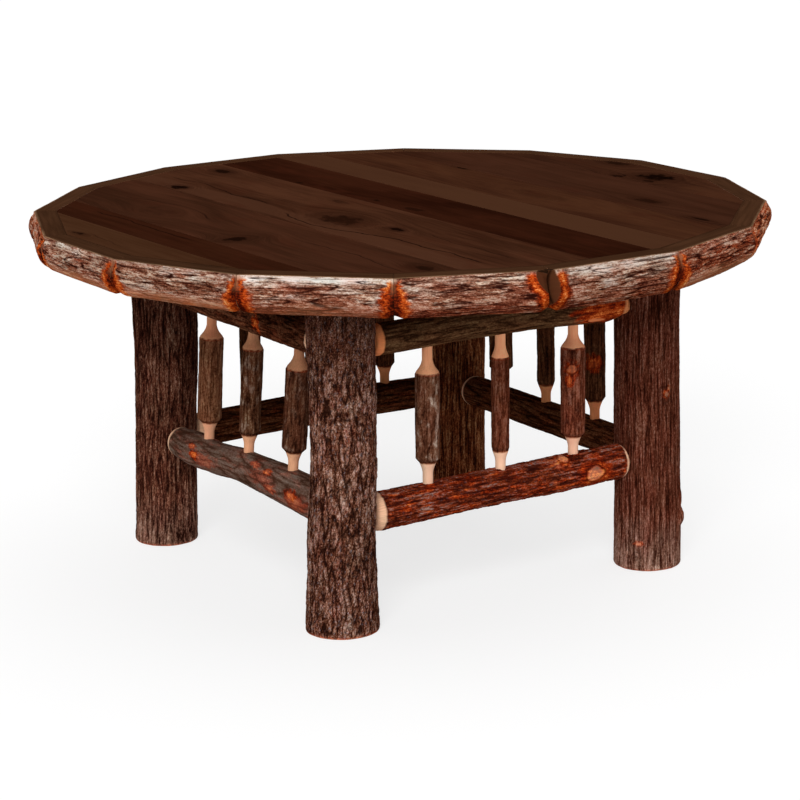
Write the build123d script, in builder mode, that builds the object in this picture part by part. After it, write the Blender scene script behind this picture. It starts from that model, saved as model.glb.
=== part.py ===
from build123d import *
import math
import os

# Round rustic coffee table. A sixteen-sided plank top is edged with bark-on hickory logs and stands on four
# log legs, which two tiers of rails tie together. Turned spindles stand between the rails on all four sides.
# Millimetres, +Z up, origin on the floor at the centre of the four legs. The front is towards -Y.

# ---- Top ----------------------------------------------------------------------------------------------
TABLE_HEIGHT = 510.0
TOP_SIDES = 16
TOP_CORNER_RADIUS = 521.0  # centre to a corner of the flat top
TOP_TWIST = 1.4  # degrees that the top sits turned on its base
BOARD_THICKNESS = 25.0
# the seams between the boards, left to right, as shares of the half width of the boarded field
BOARD_SEAMS = (-0.858, -0.7265, -0.3985, -0.0375, 0.1735, 0.3175, 0.5325, 0.8058)
BOARD_CLEARANCE = 0.3  # between two boards, and between a board and the edge logs
BOARD_EASE = 0.8  # small bevel on the long edges of each board
TONGUE_DEPTH = 8.0
TONGUE_THICKNESS = 7.0
TONGUE_CLEARANCE = 0.2

# ---- Edge logs ----------------------------------------------------------------------------------------
EDGE_BAND = 32.0  # width of the log's flat sawn top
EDGE_BULGE = 9.5  # how far the round bark side stands out beyond the flat top
EDGE_UNDERCUT = 9.0  # how far the bark side has come back in at the underside
EDGE_LEDGE = 12.0  # width of the rabbet that carries the boards
EDGE_NOTCH_ANGLE = 40.0  # degrees between the bark side and the cut across its corner
MITRE_CLEARANCE = 0.1  # on each side of a mitre
# log by log, anticlockwise seen from above, from the log on the left: its height, and how deep the
# bark corner is cut back at the mitre with the next log
EDGE_FORMS = (
    (49.0, 3.0),
    (51.0, 3.0),
    (53.0, 3.5),
    (55.0, 6.0),
    (57.0, 3.0),
    (55.0, 3.5),
    (46.0, 3.0),
    (40.0, 3.0),
    (40.0, 3.5),
    (46.0, 3.0),
    (52.0, 3.0),
    (54.0, 4.0),
    (51.0, 3.0),
    (50.0, 3.5),
    (49.0, 3.0),
    (47.0, 5.0),
)

# ---- Battens under the top ----------------------------------------------------------------------------
BATTEN_THICKNESS = 25.0
BATTEN_WIDTH = 60.0
BATTEN_END_CLEARANCE = 10.0
BATTEN_BEVEL = 6.0

# ---- Legs: share of the height, diameter, and how far the log wanders in X and Y ------------------------
LEG_SPACING = 512.0
LEG_FOOT_EASE = 5.0  # height of the eased rim of the foot
LEG_FOOT_BEVEL = 8.0  # how much narrower the foot is than the log above the rim
LEG_FLATS = 24  # a log is never truly round: its bark is a ring of narrow flats
LEG_FORMS = {
    "front_left": (
        (0.0, 100.0, -8.0, -12.0),
        (0.28, 92.5, -1.5, -4.5),
        (0.55, 89.0, 4.5, -3.0),
        (1.0, 94.0, 4.0, -2.0),
    ),
    "front_right": (
        (0.0, 96.0, -4.5, 2.5),
        (0.35, 94.0, -5.0, 3.0),
        (0.7, 92.5, -6.0, 3.5),
        (1.0, 95.0, -5.0, 3.0),
    ),
    "back_left": (
        (0.0, 92.0, -4.5, -2.5),
        (0.3, 90.5, 0.5, 0.0),
        (0.65, 94.0, 5.0, -3.0),
        (1.0, 96.0, 5.0, -2.0),
    ),
    "back_right": (
        (0.0, 89.0, -1.0, 1.0),
        (0.4, 88.0, 0.0, 0.0),
        (0.7, 89.0, -0.5, 0.5),
        (1.0, 90.0, -2.5, 0.0),
    ),
}

# ---- Rails: share of the length, diameter, and how far the pole wanders outwards and upwards ------------
LOWER_RAIL_HEIGHT = 160.0
UPPER_RAIL_DROP = 122.0  # below the top of the table
RAIL_FLATS = 20
RAIL_TENON_DIAMETER = 30.0
RAIL_TENON_FLATS = 16  # whittled, to suit the mortise in the leg
RAIL_SHOULDER_DIAMETER = 36.0
RAIL_DOME_LENGTH = 9.0
RAIL_FORMS = {
    "lower_rail_front": (
        (0.0, 53.0, 0.0, -9.0),
        (0.45, 50.5, 0.0, -5.0),
        (0.75, 52.0, 0.0, -3.0),
        (1.0, 50.0, 0.0, -0.5),
    ),
    "lower_rail_back": ((0.0, 49.5, 0.0, -3.0), (0.5, 50.5, 0.0, 1.5), (1.0, 47.0, 0.0, 0.0)),
    "lower_rail_left": (
        (0.0, 56.0, 1.0, 1.0),
        (0.27, 52.5, 5.0, 6.5),
        (0.5, 46.5, 6.0, 7.5),
        (0.7, 46.5, 5.0, 1.2),
        (0.87, 50.0, 2.0, -1.0),
        (1.0, 44.0, 0.0, -2.0),
    ),
    "lower_rail_right": ((0.0, 47.5, 0.0, 1.0), (0.5, 47.0, 0.0, 2.0), (1.0, 46.0, 0.0, 2.5)),
    "upper_rail_front": ((0.0, 44.0, 0.0, -0.5), (0.52, 44.0, 0.0, 3.0), (1.0, 46.5, 0.0, -2.0)),
    "upper_rail_back": ((0.0, 44.0, 0.0, 0.0), (0.5, 43.5, 0.0, 1.0), (1.0, 43.0, 0.0, 0.0)),
    "upper_rail_left": ((0.0, 46.5, -3.0, -2.0), (0.5, 47.0, -5.0, -3.0), (1.0, 46.0, -4.0, -2.0)),
    "upper_rail_right": ((0.0, 43.0, 0.0, 0.0), (0.5, 44.0, 0.0, 1.0), (1.0, 43.5, 0.0, 0.0)),
}

# ---- Spindles -----------------------------------------------------------------------------------------
# each one's place along its side at the lower and at the upper rail, the diameter of its body, and the
# bare lengths from the lower rail up to the body and from the body up to the upper rail
SPINDLE_FLATS = 16
SPINDLE_TENON_DIAMETER = 14.5
SPINDLE_TENON_LENGTH = 14.0  # let into each rail
SPINDLE_NECK_DIAMETER = 24.0  # where the bark has been cut away at the foot of the body
SPINDLE_CHAMFER = 7.0
SPINDLE_FLARE = 11.0
SPINDLE_BEVEL = 1.5
SPINDLE_PLACES = {
    "front": (
        (-118.5, -116.0, 34.0, 28.0, 36.0),
        (-0.5, 1.5, 25.0, 24.0, 32.0),
        (121.0, 122.0, 34.5, 24.0, 30.0),
    ),
    "back": (
        (-109.0, -109.5, 32.0, 25.0, 30.0),
        (2.0, 1.0, 29.5, 25.0, 31.0),
        (124.0, 124.5, 32.0, 25.0, 29.0),
    ),
    "left": (
        (-131.5, -152.0, 34.0, 25.0, 26.0),
        (-10.5, -20.5, 30.5, 24.5, 22.0),
        (111.5, 101.5, 35.0, 24.0, 29.0),
    ),
    "right": (
        (-117.5, -117.0, 31.5, 26.0, 29.0),
        (8.5, 9.0, 27.0, 25.0, 31.0),
        (130.0, 129.0, 36.0, 24.0, 30.0),
    ),
}

# ---- Joints and fasteners -----------------------------------------------------------------------------
MORTISE_CLEARANCE = 0.2  # round a tenon
MORTISE_END_CLEARANCE = 0.5  # past the end of a tenon
SHOULDER_CLEARANCE = 0.3
TENON_WALL = 3.0  # wood left between two tenons that meet inside a leg
LAG_FLATS = 12
LAG_SHANK_DIAMETER = 8.0
LAG_HEAD_WIDTH = 13.0  # across the flats
LAG_HEAD_HEIGHT = 5.5
LAG_BITE = 55.0  # thread length in a leg
LAG_SOCKET_DIAMETER = 22.0  # room for a socket round the head
LAG_CLEARANCE = 0.1

# ---- Worked out from the above ------------------------------------------------------------------------
SIDE_ANGLE = 360.0 / TOP_SIDES
APOTHEM = TOP_CORNER_RADIUS * math.cos(math.radians(SIDE_ANGLE / 2))
BAND_APOTHEM = APOTHEM - EDGE_BAND
LEDGE_APOTHEM = BAND_APOTHEM - EDGE_LEDGE
BOARD_BOTTOM = TABLE_HEIGHT - BOARD_THICKNESS
BATTEN_BOTTOM = BOARD_BOTTOM - BATTEN_THICKNESS
LEG_X = LEG_SPACING / 2
TENON_STOP = RAIL_TENON_DIAMETER / 2 + TENON_WALL  # from a leg's axis to the end of a rail's tenon
BATTEN_ROWS = {"batten_front": -LEG_X, "batten_middle": 0.0, "batten_back": LEG_X}
LEG_CORNERS = {
    "front_left": (-LEG_X, -LEG_X),
    "front_right": (LEG_X, -LEG_X),
    "back_left": (-LEG_X, LEG_X),
    "back_right": (LEG_X, LEG_X),
}
# each side of the base: the legs that its rails run between, and the way it faces
SIDES = {
    "front": ("front_left", "front_right", Vector(0, -1, 0)),
    "back": ("back_left", "back_right", Vector(0, 1, 0)),
    "left": ("front_left", "back_left", Vector(-1, 0, 0)),
    "right": ("front_right", "back_right", Vector(1, 0, 0)),
}
RAIL_LEVELS = {"lower": LOWER_RAIL_HEIGHT, "upper": TABLE_HEIGHT - UPPER_RAIL_DROP}
EAST = Vector(1, 0, 0)
NORTH = Vector(0, 1, 0)
UP = Vector(0, 0, 1)


def save(piece, name):
    piece.part.label = name
    export_step(piece.part, f"parts/{name}.step")


def between(form, share):
    """The values of a natural form at a share of its length, straight between its stations."""
    for near, far in zip(form, form[1:]):
        if share <= far[0]:
            part = (share - near[0]) / (far[0] - near[0])
            return [a + (b - a) * part for a, b in zip(near[1:], far[1:])]
    return list(form[-1][1:])


def ring(centre, across, up, diameter, flats):
    """Corners of a ring of flats round a point, in the plane of two directions."""
    turns = [2 * math.pi * corner / flats for corner in range(flats)]
    return [centre + (across * math.cos(turn) + up * math.sin(turn)) * (diameter / 2) for turn in turns]


# ---- Legs ---------------------------------------------------------------------------------------------
def leg_face(leg, direction, height):
    """Distance from a leg's nominal axis to its bark, in one direction, at one height."""
    diameter, x, y = between(LEG_FORMS[leg], height / BATTEN_BOTTOM)
    return diameter / 2 + x * direction.X + y * direction.Y


def rail_end(level, side, at_start):
    """The leg that holds a rail's end, the point where their axes meet, and the way on to the rail."""
    start, end, outward = SIDES[side]
    form = RAIL_FORMS[f"{level}_rail_{side}"]
    leg = start if at_start else end
    station = form[0] if at_start else form[-1]
    x, y = LEG_CORNERS[leg]
    centre = Vector(x, y, RAIL_LEVELS[level] + station[3]) + outward * station[2]
    along = Vector(*LEG_CORNERS[end], 0) - Vector(*LEG_CORNERS[start], 0)
    return leg, centre, along.normalized() if at_start else along.normalized() * -1


def build_leg(name):
    corner_x, corner_y = LEG_CORNERS[name]
    form = LEG_FORMS[name]
    foot_diameter, foot_x, foot_y = form[0][1:]
    stations = [(0.0, foot_diameter - LEG_FOOT_BEVEL, foot_x, foot_y)]
    stations.append((LEG_FOOT_EASE, foot_diameter, foot_x, foot_y))
    stations += [(share * BATTEN_BOTTOM, diameter, x, y) for share, diameter, x, y in form[1:]]
    rings = [
        ring(Vector(corner_x + x, corner_y + y, height), EAST, NORTH, diameter, LEG_FLATS)
        for height, diameter, x, y in stations
    ]
    with BuildPart() as leg:
        for lower, upper in zip(rings, rings[1:]):
            ConvexPolyhedron(lower + upper)
        for level in RAIL_LEVELS:
            for side in SIDES:
                for at_start in (True, False):
                    held_by, centre, way = rail_end(level, side, at_start)
                    if held_by == name:
                        floor = centre + way * (TENON_STOP - MORTISE_END_CLEARANCE)
                        with BuildSketch(Plane(floor, x_dir=SIDES[side][2], z_dir=way)):
                            RegularPolygon(RAIL_TENON_DIAMETER / 2 + MORTISE_CLEARANCE, RAIL_TENON_FLATS)
                        extrude(amount=foot_diameter, mode=Mode.SUBTRACT)
        with BuildSketch(Plane.XY.offset(BATTEN_BOTTOM)):
            with Locations((corner_x, corner_y)):
                RegularPolygon(LAG_SHANK_DIAMETER / 2 + LAG_CLEARANCE, LAG_FLATS)
        extrude(amount=-LAG_BITE - MORTISE_END_CLEARANCE, mode=Mode.SUBTRACT)
    save(leg, f"leg_{name}")


# ---- Rails --------------------------------------------------------------------------------------------
def rail_ends(level, side):
    """The two shoulder points of a rail, where its domed ends stand against the legs."""
    reach = RAIL_SHOULDER_DIAMETER / 2
    points = []
    for at_start in (True, False):
        leg, centre, way = rail_end(level, side, at_start)
        face = max(leg_face(leg, way, centre.Z + rise) for rise in (-reach, 0, reach))
        points.append(centre + way * (face + SHOULDER_CLEARANCE))
    return points


def rail_centre(level, side, place):
    """Centre and diameter of a rail at a place along its side, measured from the middle of the side."""
    outward = SIDES[side][2]
    start, end = rail_ends(level, side)
    along = Vector(abs(outward.Y), abs(outward.X), 0)
    low, high = start.dot(along) + RAIL_DOME_LENGTH, end.dot(along) - RAIL_DOME_LENGTH
    form = RAIL_FORMS[f"{level}_rail_{side}"]
    diameter, out, up = between(form, (place - low) / (high - low))
    return along * place + outward * (LEG_X + out) + UP * (RAIL_LEVELS[level] + up), diameter


def build_rail(level, side):
    outward = SIDES[side][2]
    start, end = rail_ends(level, side)
    along = Vector(abs(outward.Y), abs(outward.X), 0)
    low, high = start.dot(along) + RAIL_DOME_LENGTH, end.dot(along) - RAIL_DOME_LENGTH
    stations = [(start, RAIL_SHOULDER_DIAMETER)]
    for share, diameter, out, up in RAIL_FORMS[f"{level}_rail_{side}"]:
        place = low + share * (high - low)
        centre = along * place + outward * (LEG_X + out) + UP * (RAIL_LEVELS[level] + up)
        stations.append((centre, diameter))
    stations.append((end, RAIL_SHOULDER_DIAMETER))
    rings = [ring(centre, outward, UP, diameter, RAIL_FLATS) for centre, diameter in stations]
    with BuildPart() as rail:
        for near, far in zip(rings, rings[1:]):
            ConvexPolyhedron(near + far)
        for at_start, shoulder in ((True, start), (False, end)):
            leg, leg_axis, way = rail_end(level, side, at_start)
            with BuildSketch(Plane(shoulder, x_dir=outward, z_dir=way * -1)):
                RegularPolygon(RAIL_TENON_DIAMETER / 2, RAIL_TENON_FLATS)
            extrude(amount=(shoulder - leg_axis).length - TENON_STOP)
        for foot, head in spindle_axes(side):
            anchor, way = (foot, head - foot) if level == "lower" else (head, foot - head)
            radius = rail_centre(level, side, anchor.dot(along))[1] / 2
            depth = SPINDLE_TENON_LENGTH + MORTISE_END_CLEARANCE
            floor = anchor + way.normalized() * (radius - depth)
            with BuildSketch(Plane(floor, x_dir=outward.cross(way), z_dir=way)):
                RegularPolygon(SPINDLE_TENON_DIAMETER / 2 + MORTISE_CLEARANCE, SPINDLE_FLATS)
            extrude(amount=2 * radius, mode=Mode.SUBTRACT)
    save(rail, f"{level}_rail_{side}")


# ---- Spindles -----------------------------------------------------------------------------------------
def spindle_axes(side):
    """For each spindle of a side: where its axis meets the axes of the two rails."""
    axes = []
    for low_place, high_place, *_ in SPINDLE_PLACES[side]:
        foot = rail_centre("lower", side, low_place)[0]
        head = rail_centre("upper", side, high_place)[0]
        axes.append((foot, head))
    return axes


def build_spindle(side, number):
    low_place, high_place, diameter, lower_neck, upper_neck = SPINDLE_PLACES[side][number]
    foot, low_rail = rail_centre("lower", side, low_place)
    head, high_rail = rail_centre("upper", side, high_place)
    way = (head - foot).normalized()
    length = (head - foot).length
    tenon = SPINDLE_TENON_DIAMETER / 2
    body = diameter / 2
    neck = min(SPINDLE_NECK_DIAMETER / 2, body - SPINDLE_BEVEL)
    body_bottom = low_rail / 2 + lower_neck
    body_top = length - high_rail / 2 - upper_neck
    profile = (
        (low_rail / 2 - SPINDLE_TENON_LENGTH, tenon),
        (body_bottom - SPINDLE_FLARE, tenon),
        (body_bottom - SPINDLE_FLARE * 0.4, tenon + (neck - tenon) * 0.35),
        (body_bottom, neck),
        (body_bottom + SPINDLE_CHAMFER, body),
        (body_top - SPINDLE_BEVEL, body),
        (body_top, body - SPINDLE_BEVEL),
        (body_top + SPINDLE_FLARE * 0.6, tenon + (body - tenon) * 0.42),
        (body_top + SPINDLE_FLARE * 1.5, tenon),
        (length - high_rail / 2 + SPINDLE_TENON_LENGTH, tenon),
    )
    outward = SIDES[side][2]
    across = outward.cross(way)
    rings = [
        ring(foot + way * place, across, outward, 2 * radius, SPINDLE_FLATS)
        for place, radius in profile
    ]
    with BuildPart() as spindle:
        for lower, upper in zip(rings, rings[1:]):
            ConvexPolyhedron(lower + upper)
    save(spindle, f"spindle_{side}_{number + 1}")


# ---- Top ----------------------------------------------------------------------------------------------
def edge_direction(index):
    """The way that an edge log faces, from the centre of the table."""
    angle = math.radians(180 + TOP_TWIST + index * SIDE_ANGLE)
    return Vector(math.cos(angle), math.sin(angle), 0)


def board_limits(index):
    """The two long edges of a board, in the frame of the top."""
    seams = (-1.0, *BOARD_SEAMS, 1.0)
    return seams[index] * BAND_APOTHEM, seams[index + 1] * BAND_APOTHEM


def batten_half_length(row):
    widest = abs(row) + BATTEN_WIDTH / 2
    return math.sqrt(LEDGE_APOTHEM**2 - widest**2) - BATTEN_END_CLEARANCE


def build_board(index):
    low, high = board_limits(index)
    first, last = index == 0, index == len(BOARD_SEAMS)
    left = low + BOARD_CLEARANCE / 2
    right = high - BOARD_CLEARANCE / 2
    frame = Plane.XY.rotated((0, 0, TOP_TWIST))
    tongue_middle = BOARD_BOTTOM + BOARD_THICKNESS / 2
    corner_radius = (BAND_APOTHEM - BOARD_CLEARANCE) / math.cos(math.radians(SIDE_ANGLE / 2))
    with BuildPart() as board:
        with BuildSketch(frame.offset(BOARD_BOTTOM)):
            RegularPolygon(corner_radius, TOP_SIDES, rotation=SIDE_ANGLE / 2)
            with Locations(((left + right) / 2, 0)):
                Rectangle(right - left, 2 * TOP_CORNER_RADIUS, mode=Mode.INTERSECT)
        extrude(amount=BOARD_THICKNESS)
        seams = 1 if first or last else 2
        top_edges = board.faces().sort_by(Axis.Z)[-1].edges()
        chamfer(top_edges.sort_by(SortBy.LENGTH)[-seams:], BOARD_EASE)
        if not last:
            with BuildSketch(frame.offset(tongue_middle - TONGUE_THICKNESS / 2)):
                RegularPolygon(corner_radius, TOP_SIDES, rotation=SIDE_ANGLE / 2)
                with Locations((right + TONGUE_DEPTH / 2, 0)):
                    Rectangle(TONGUE_DEPTH, 2 * TOP_CORNER_RADIUS, mode=Mode.INTERSECT)
            extrude(amount=TONGUE_THICKNESS)
        if not first:
            groove = TONGUE_THICKNESS / 2 + TONGUE_CLEARANCE
            groove_depth = TONGUE_DEPTH + TONGUE_CLEARANCE
            with BuildSketch(frame.offset(tongue_middle - groove)):
                with Locations((left + groove_depth / 2, 0)):
                    Rectangle(groove_depth, 2 * TOP_CORNER_RADIUS)
            extrude(amount=2 * groove, mode=Mode.SUBTRACT)
    save(board, f"board_{index + 1}")


def build_edge_log(index):
    direction = edge_direction(index)
    tangent = Vector(-direction.Y, direction.X, 0)
    height = EDGE_FORMS[index % len(EDGE_FORMS)][0]
    underside = TABLE_HEIGHT - height
    half_side = math.radians(SIDE_ANGLE / 2)
    notch_angle = math.radians(EDGE_NOTCH_ANGLE)
    half_length = (APOTHEM + EDGE_BULGE) * math.tan(half_side)
    with BuildPart() as log:
        with BuildSketch(Plane(tangent * half_length, x_dir=direction, z_dir=tangent * -1)):
            with BuildLine():
                ThreePointArc(
                    (APOTHEM, TABLE_HEIGHT),
                    (APOTHEM + EDGE_BULGE, TABLE_HEIGHT - height * 0.46),
                    (APOTHEM - EDGE_UNDERCUT, underside),
                )
                Polyline(
                    (APOTHEM - EDGE_UNDERCUT, underside),
                    (LEDGE_APOTHEM, underside),
                    (LEDGE_APOTHEM, BOARD_BOTTOM),
                    (BAND_APOTHEM, BOARD_BOTTOM),
                    (BAND_APOTHEM, TABLE_HEIGHT),
                    (APOTHEM, TABLE_HEIGHT),
                )
            make_face()
        extrude(amount=2 * half_length)
        for end in (1, -1):
            mitre = tangent * (end * math.cos(half_side)) - direction * math.sin(half_side)
            split(bisect_by=Plane(mitre * -MITRE_CLEARANCE, z_dir=mitre), keep=Keep.BOTTOM)
            depth = EDGE_FORMS[(index if end > 0 else index - 1) % len(EDGE_FORMS)][1]
            cut = tangent * (end * math.sin(notch_angle)) + direction * math.cos(notch_angle)
            corner = direction * (APOTHEM + EDGE_BULGE) + tangent * (end * half_length)
            split(bisect_by=Plane(corner - cut * depth, z_dir=cut), keep=Keep.BOTTOM)
    save(log, f"edge_log_{index + 1:02d}")


# ---- Battens and fasteners ----------------------------------------------------------------------------
def build_batten(name, row):
    half_length = batten_half_length(row)
    lags = [corner for corner in LEG_CORNERS.values() if corner[1] == row]
    with BuildPart() as batten:
        with BuildSketch(Plane.XY.offset(BATTEN_BOTTOM)):
            with Locations((0, row)):
                Rectangle(2 * half_length, BATTEN_WIDTH)
        extrude(amount=BATTEN_THICKNESS)
        chamfer(batten.edges().group_by(Axis.Z)[0].filter_by(Axis.Y), BATTEN_BEVEL)
        if lags:
            with BuildSketch(Plane.XY.offset(BATTEN_BOTTOM)):
                with Locations(*lags):
                    RegularPolygon(LAG_SHANK_DIAMETER / 2 + LAG_CLEARANCE, LAG_FLATS)
            extrude(amount=BATTEN_THICKNESS, mode=Mode.SUBTRACT)
            with BuildSketch(Plane.XY.offset(BOARD_BOTTOM)):
                with Locations(*lags):
                    RegularPolygon(LAG_SOCKET_DIAMETER / 2, LAG_FLATS)
            extrude(amount=-LAG_HEAD_HEIGHT - LAG_CLEARANCE, mode=Mode.SUBTRACT)
    save(batten, name)


def build_lag_screws():
    with BuildPart() as group:
        seat = BOARD_BOTTOM - LAG_HEAD_HEIGHT - LAG_CLEARANCE
        with BuildSketch(Plane.XY.offset(seat)):
            with Locations(*LEG_CORNERS.values()):
                RegularPolygon(LAG_HEAD_WIDTH / 2, 6, major_radius=False)
        extrude(amount=LAG_HEAD_HEIGHT)
        with BuildSketch(Plane.XY.offset(seat)):
            with Locations(*LEG_CORNERS.values()):
                RegularPolygon(LAG_SHANK_DIAMETER / 2, LAG_FLATS)
        extrude(amount=-(seat - BATTEN_BOTTOM) - LAG_BITE)
    save(group, "leg_lag_screws")


# ---- The whole table ----------------------------------------------------------------------------------
os.makedirs("parts", exist_ok=True)

for leg_name in LEG_CORNERS:
    build_leg(leg_name)

for rail_level in RAIL_LEVELS:
    for rail_side in SIDES:
        build_rail(rail_level, rail_side)

for spindle_side, places in SPINDLE_PLACES.items():
    for spindle_number in range(len(places)):
        build_spindle(spindle_side, spindle_number)

for batten_name, batten_row in BATTEN_ROWS.items():
    build_batten(batten_name, batten_row)

for board_index in range(len(BOARD_SEAMS) + 1):
    build_board(board_index)

for log_index in range(TOP_SIDES):
    build_edge_log(log_index)

build_lag_screws()
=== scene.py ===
import math

import bpy
import numpy as np
from mathutils import Matrix, Vector


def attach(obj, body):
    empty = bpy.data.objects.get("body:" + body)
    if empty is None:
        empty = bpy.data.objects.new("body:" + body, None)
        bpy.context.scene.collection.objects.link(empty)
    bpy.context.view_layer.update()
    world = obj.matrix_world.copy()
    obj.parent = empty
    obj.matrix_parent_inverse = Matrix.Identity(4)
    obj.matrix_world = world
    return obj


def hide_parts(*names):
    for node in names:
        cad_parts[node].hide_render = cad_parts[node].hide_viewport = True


# Round rustic table of bark-on hickory. Lengths are in millimetres until a mesh is made, then in metres.
# Plank top and battens keep their CAD solids; every pole gets a bark surface of its own over its CAD solid.

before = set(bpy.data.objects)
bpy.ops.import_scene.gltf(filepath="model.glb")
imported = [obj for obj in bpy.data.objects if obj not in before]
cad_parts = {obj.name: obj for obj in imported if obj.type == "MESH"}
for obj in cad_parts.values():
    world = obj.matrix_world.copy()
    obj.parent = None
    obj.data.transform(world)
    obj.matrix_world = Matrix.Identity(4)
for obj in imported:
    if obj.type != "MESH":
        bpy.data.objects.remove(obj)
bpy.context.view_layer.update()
COARSE = 1.0

TABLE_HEIGHT = 510.0
SIDE_ANGLE = math.radians(22.5)
TOP_TWIST = math.radians(1.4)
TOP_CORNER_RADIUS = 521.0
BAND_WIDTH = 32.0
LEDGE_WIDTH = 12.0
APOTHEM = TOP_CORNER_RADIUS * math.cos(SIDE_ANGLE / 2)
BAND_APOTHEM = APOTHEM - BAND_WIDTH
LEDGE_APOTHEM = BAND_APOTHEM - LEDGE_WIDTH
BOARD_BOTTOM = 485.0
LEG_TOP = 460.0
LEG_X = 256.0
RAIL_LEVELS = {"lower": 160.0, "upper": 388.0}
DOME = 9.0
SHOULDER = 18.0
SHOULDER_GAP = 0.3
TENON = 15.0

X, Y, Z = np.eye(3)


# ---- Noise on arrays of points ----------------
class Noise:
    """Gradient noise, about -1 to 1."""

    def __init__(self, seed):
        rng = np.random.default_rng(seed)
        self.order = rng.permutation(512)
        slopes = rng.normal(size=(512, 3))
        self.slopes = slopes / np.linalg.norm(slopes, axis=1)[:, None]
        self.shift = rng.uniform(20, 400, 3)

    def __call__(self, x, y, z):
        x, y, z = np.broadcast_arrays(x, y, z)
        shape = x.shape
        p = np.stack([x.ravel(), y.ravel(), z.ravel()], 1) + self.shift
        cell = np.floor(p).astype(np.int64)
        part = p - cell
        fade = part**3 * (part * (part * 6 - 15) + 10)
        total = np.zeros(len(p))
        for i in (0, 1):
            fx = fade[:, 0] if i else 1 - fade[:, 0]
            row = self.order[(cell[:, 0] + i) & 511]
            for j in (0, 1):
                fy = fade[:, 1] if j else 1 - fade[:, 1]
                column = self.order[(row + cell[:, 1] + j) & 511]
                for k in (0, 1):
                    fz = fade[:, 2] if k else 1 - fade[:, 2]
                    slope = self.slopes[self.order[(column + cell[:, 2] + k) & 511]]
                    total += fx * fy * fz * ((part - (i, j, k)) * slope).sum(1)
        return (total * 1.6).reshape(shape)


def smooth(low, high, value):
    t = np.clip((value - low) / (high - low), 0, 1)
    return t * t * (3 - 2 * t)


def through(stations, values):
    """Smooth curve through stations of (place, a, b, ...), one array for each column after the place."""
    table = np.array(stations, float)
    places = table[:, 0]
    columns = []
    for column in table.T[1:]:
        steps = np.diff(column) / np.diff(places)
        slopes = np.zeros(len(places))
        for i in range(1, len(places) - 1):
            if steps[i - 1] * steps[i] > 0:
                slopes[i] = 2 * steps[i - 1] * steps[i] / (steps[i - 1] + steps[i])
        slopes[0], slopes[-1] = steps[0], steps[-1]
        i = np.clip(np.searchsorted(places, values, side="right") - 1, 0, len(places) - 2)
        h = places[i + 1] - places[i]
        t = np.clip((values - places[i]) / h, 0, 1)
        columns.append(
            (2 * t**3 - 3 * t**2 + 1) * column[i]
            + (t**3 - 2 * t**2 + t) * h * slopes[i]
            + (3 * t**2 - 2 * t**3) * column[i + 1]
            + (t**3 - t**2) * h * slopes[i + 1]
        )
    return columns


# ---- Meshes ----------------
def add_object(name, data):
    made = bpy.data.objects.new(name, data)
    bpy.context.scene.collection.objects.link(made)
    return made


def make_piece(node, grid, masks, grain, materials, face_material=None):
    """A bark surface for a node, from rows of points that close on themselves, with masks as attributes.

    Grain is where each point lies in the wood, as three arrays: two across the grain and one along it.
    """
    name = f"bark_{node}"
    rows, around = grid.shape[:2]
    index = np.arange(rows * around).reshape(rows, around)
    nxt = np.roll(index, -1, 1)
    quads = np.stack([index[:-1], nxt[:-1], nxt[1:], index[1:]], -1).reshape(-1, 4)
    faces = [*quads.tolist(), index[0][::-1].tolist(), index[-1].tolist()]
    mesh = bpy.data.meshes.new(name)
    mesh.from_pydata((grid.reshape(-1, 3) / 1000).tolist(), [], faces)
    for mask, values in masks.items():
        held = mesh.attributes.new(mask, "FLOAT", "POINT")
        held.data.foreach_set("value", np.broadcast_to(values, (rows, around)).astype(np.float32).ravel())
    held = mesh.attributes.new("grain", "FLOAT_VECTOR", "POINT")
    held.data.foreach_set("vector", (np.stack(grain, -1) / 1000).astype(np.float32).ravel())
    mesh.polygons.foreach_set("use_smooth", np.ones(len(faces), bool))
    for material in materials:
        mesh.materials.append(material)
    if face_material is not None:
        numbers = np.full(len(faces), len(materials) - 1, np.int32)
        numbers[: len(quads)] = np.tile(face_material, rows - 1)
        mesh.polygons.foreach_set("material_index", numbers)
    mesh.update()
    piece = add_object(name, mesh)
    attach(piece, "root")
    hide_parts(node)


# ---- Materials ----------------
def colour(code):
    levels = [int(code[i : i + 2], 16) / 255 for i in (0, 2, 4)]
    return [c / 12.92 if c <= 0.04045 else ((c + 0.055) / 1.055) ** 2.4 for c in levels] + [1.0]


def feed(tree, socket, value):
    """Set a socket to a value or a colour's code, or link the wire that feeds it."""
    if isinstance(value, Wire):
        tree.links.new(value.output, socket)
    else:
        socket.default_value = colour(value) if isinstance(value, str) else value


def add_node(tree, kind, inputs=(), **settings):
    made = tree.nodes.new(kind)
    for key, value in settings.items():
        setattr(made, key, value)
    for key, value in dict(inputs).items():
        feed(tree, made.inputs[key], value)
    return made


class Wire:
    """The output of a node. Arithmetic on it adds math nodes."""

    def __init__(self, tree, output):
        self.tree = tree
        self.output = output

    def apply(self, operation, a, b=0.0):
        made = add_node(self.tree, "ShaderNodeMath", {0: a, 1: b}, operation=operation)
        return Wire(self.tree, made.outputs[0])

    def __add__(self, other):
        return self.apply("ADD", self, other)

    def __sub__(self, other):
        return self.apply("SUBTRACT", self, other)

    def __rsub__(self, other):
        return self.apply("SUBTRACT", other, self)

    def __mul__(self, other):
        return self.apply("MULTIPLY", self, other)

    def __rpow__(self, other):
        return self.apply("POWER", other, self)

    def __abs__(self):
        return self.apply("ABSOLUTE", self)

    def sine(self):
        return self.apply("SINE", self)

    def most(self, other):
        return self.apply("MAXIMUM", self, other)


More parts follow.
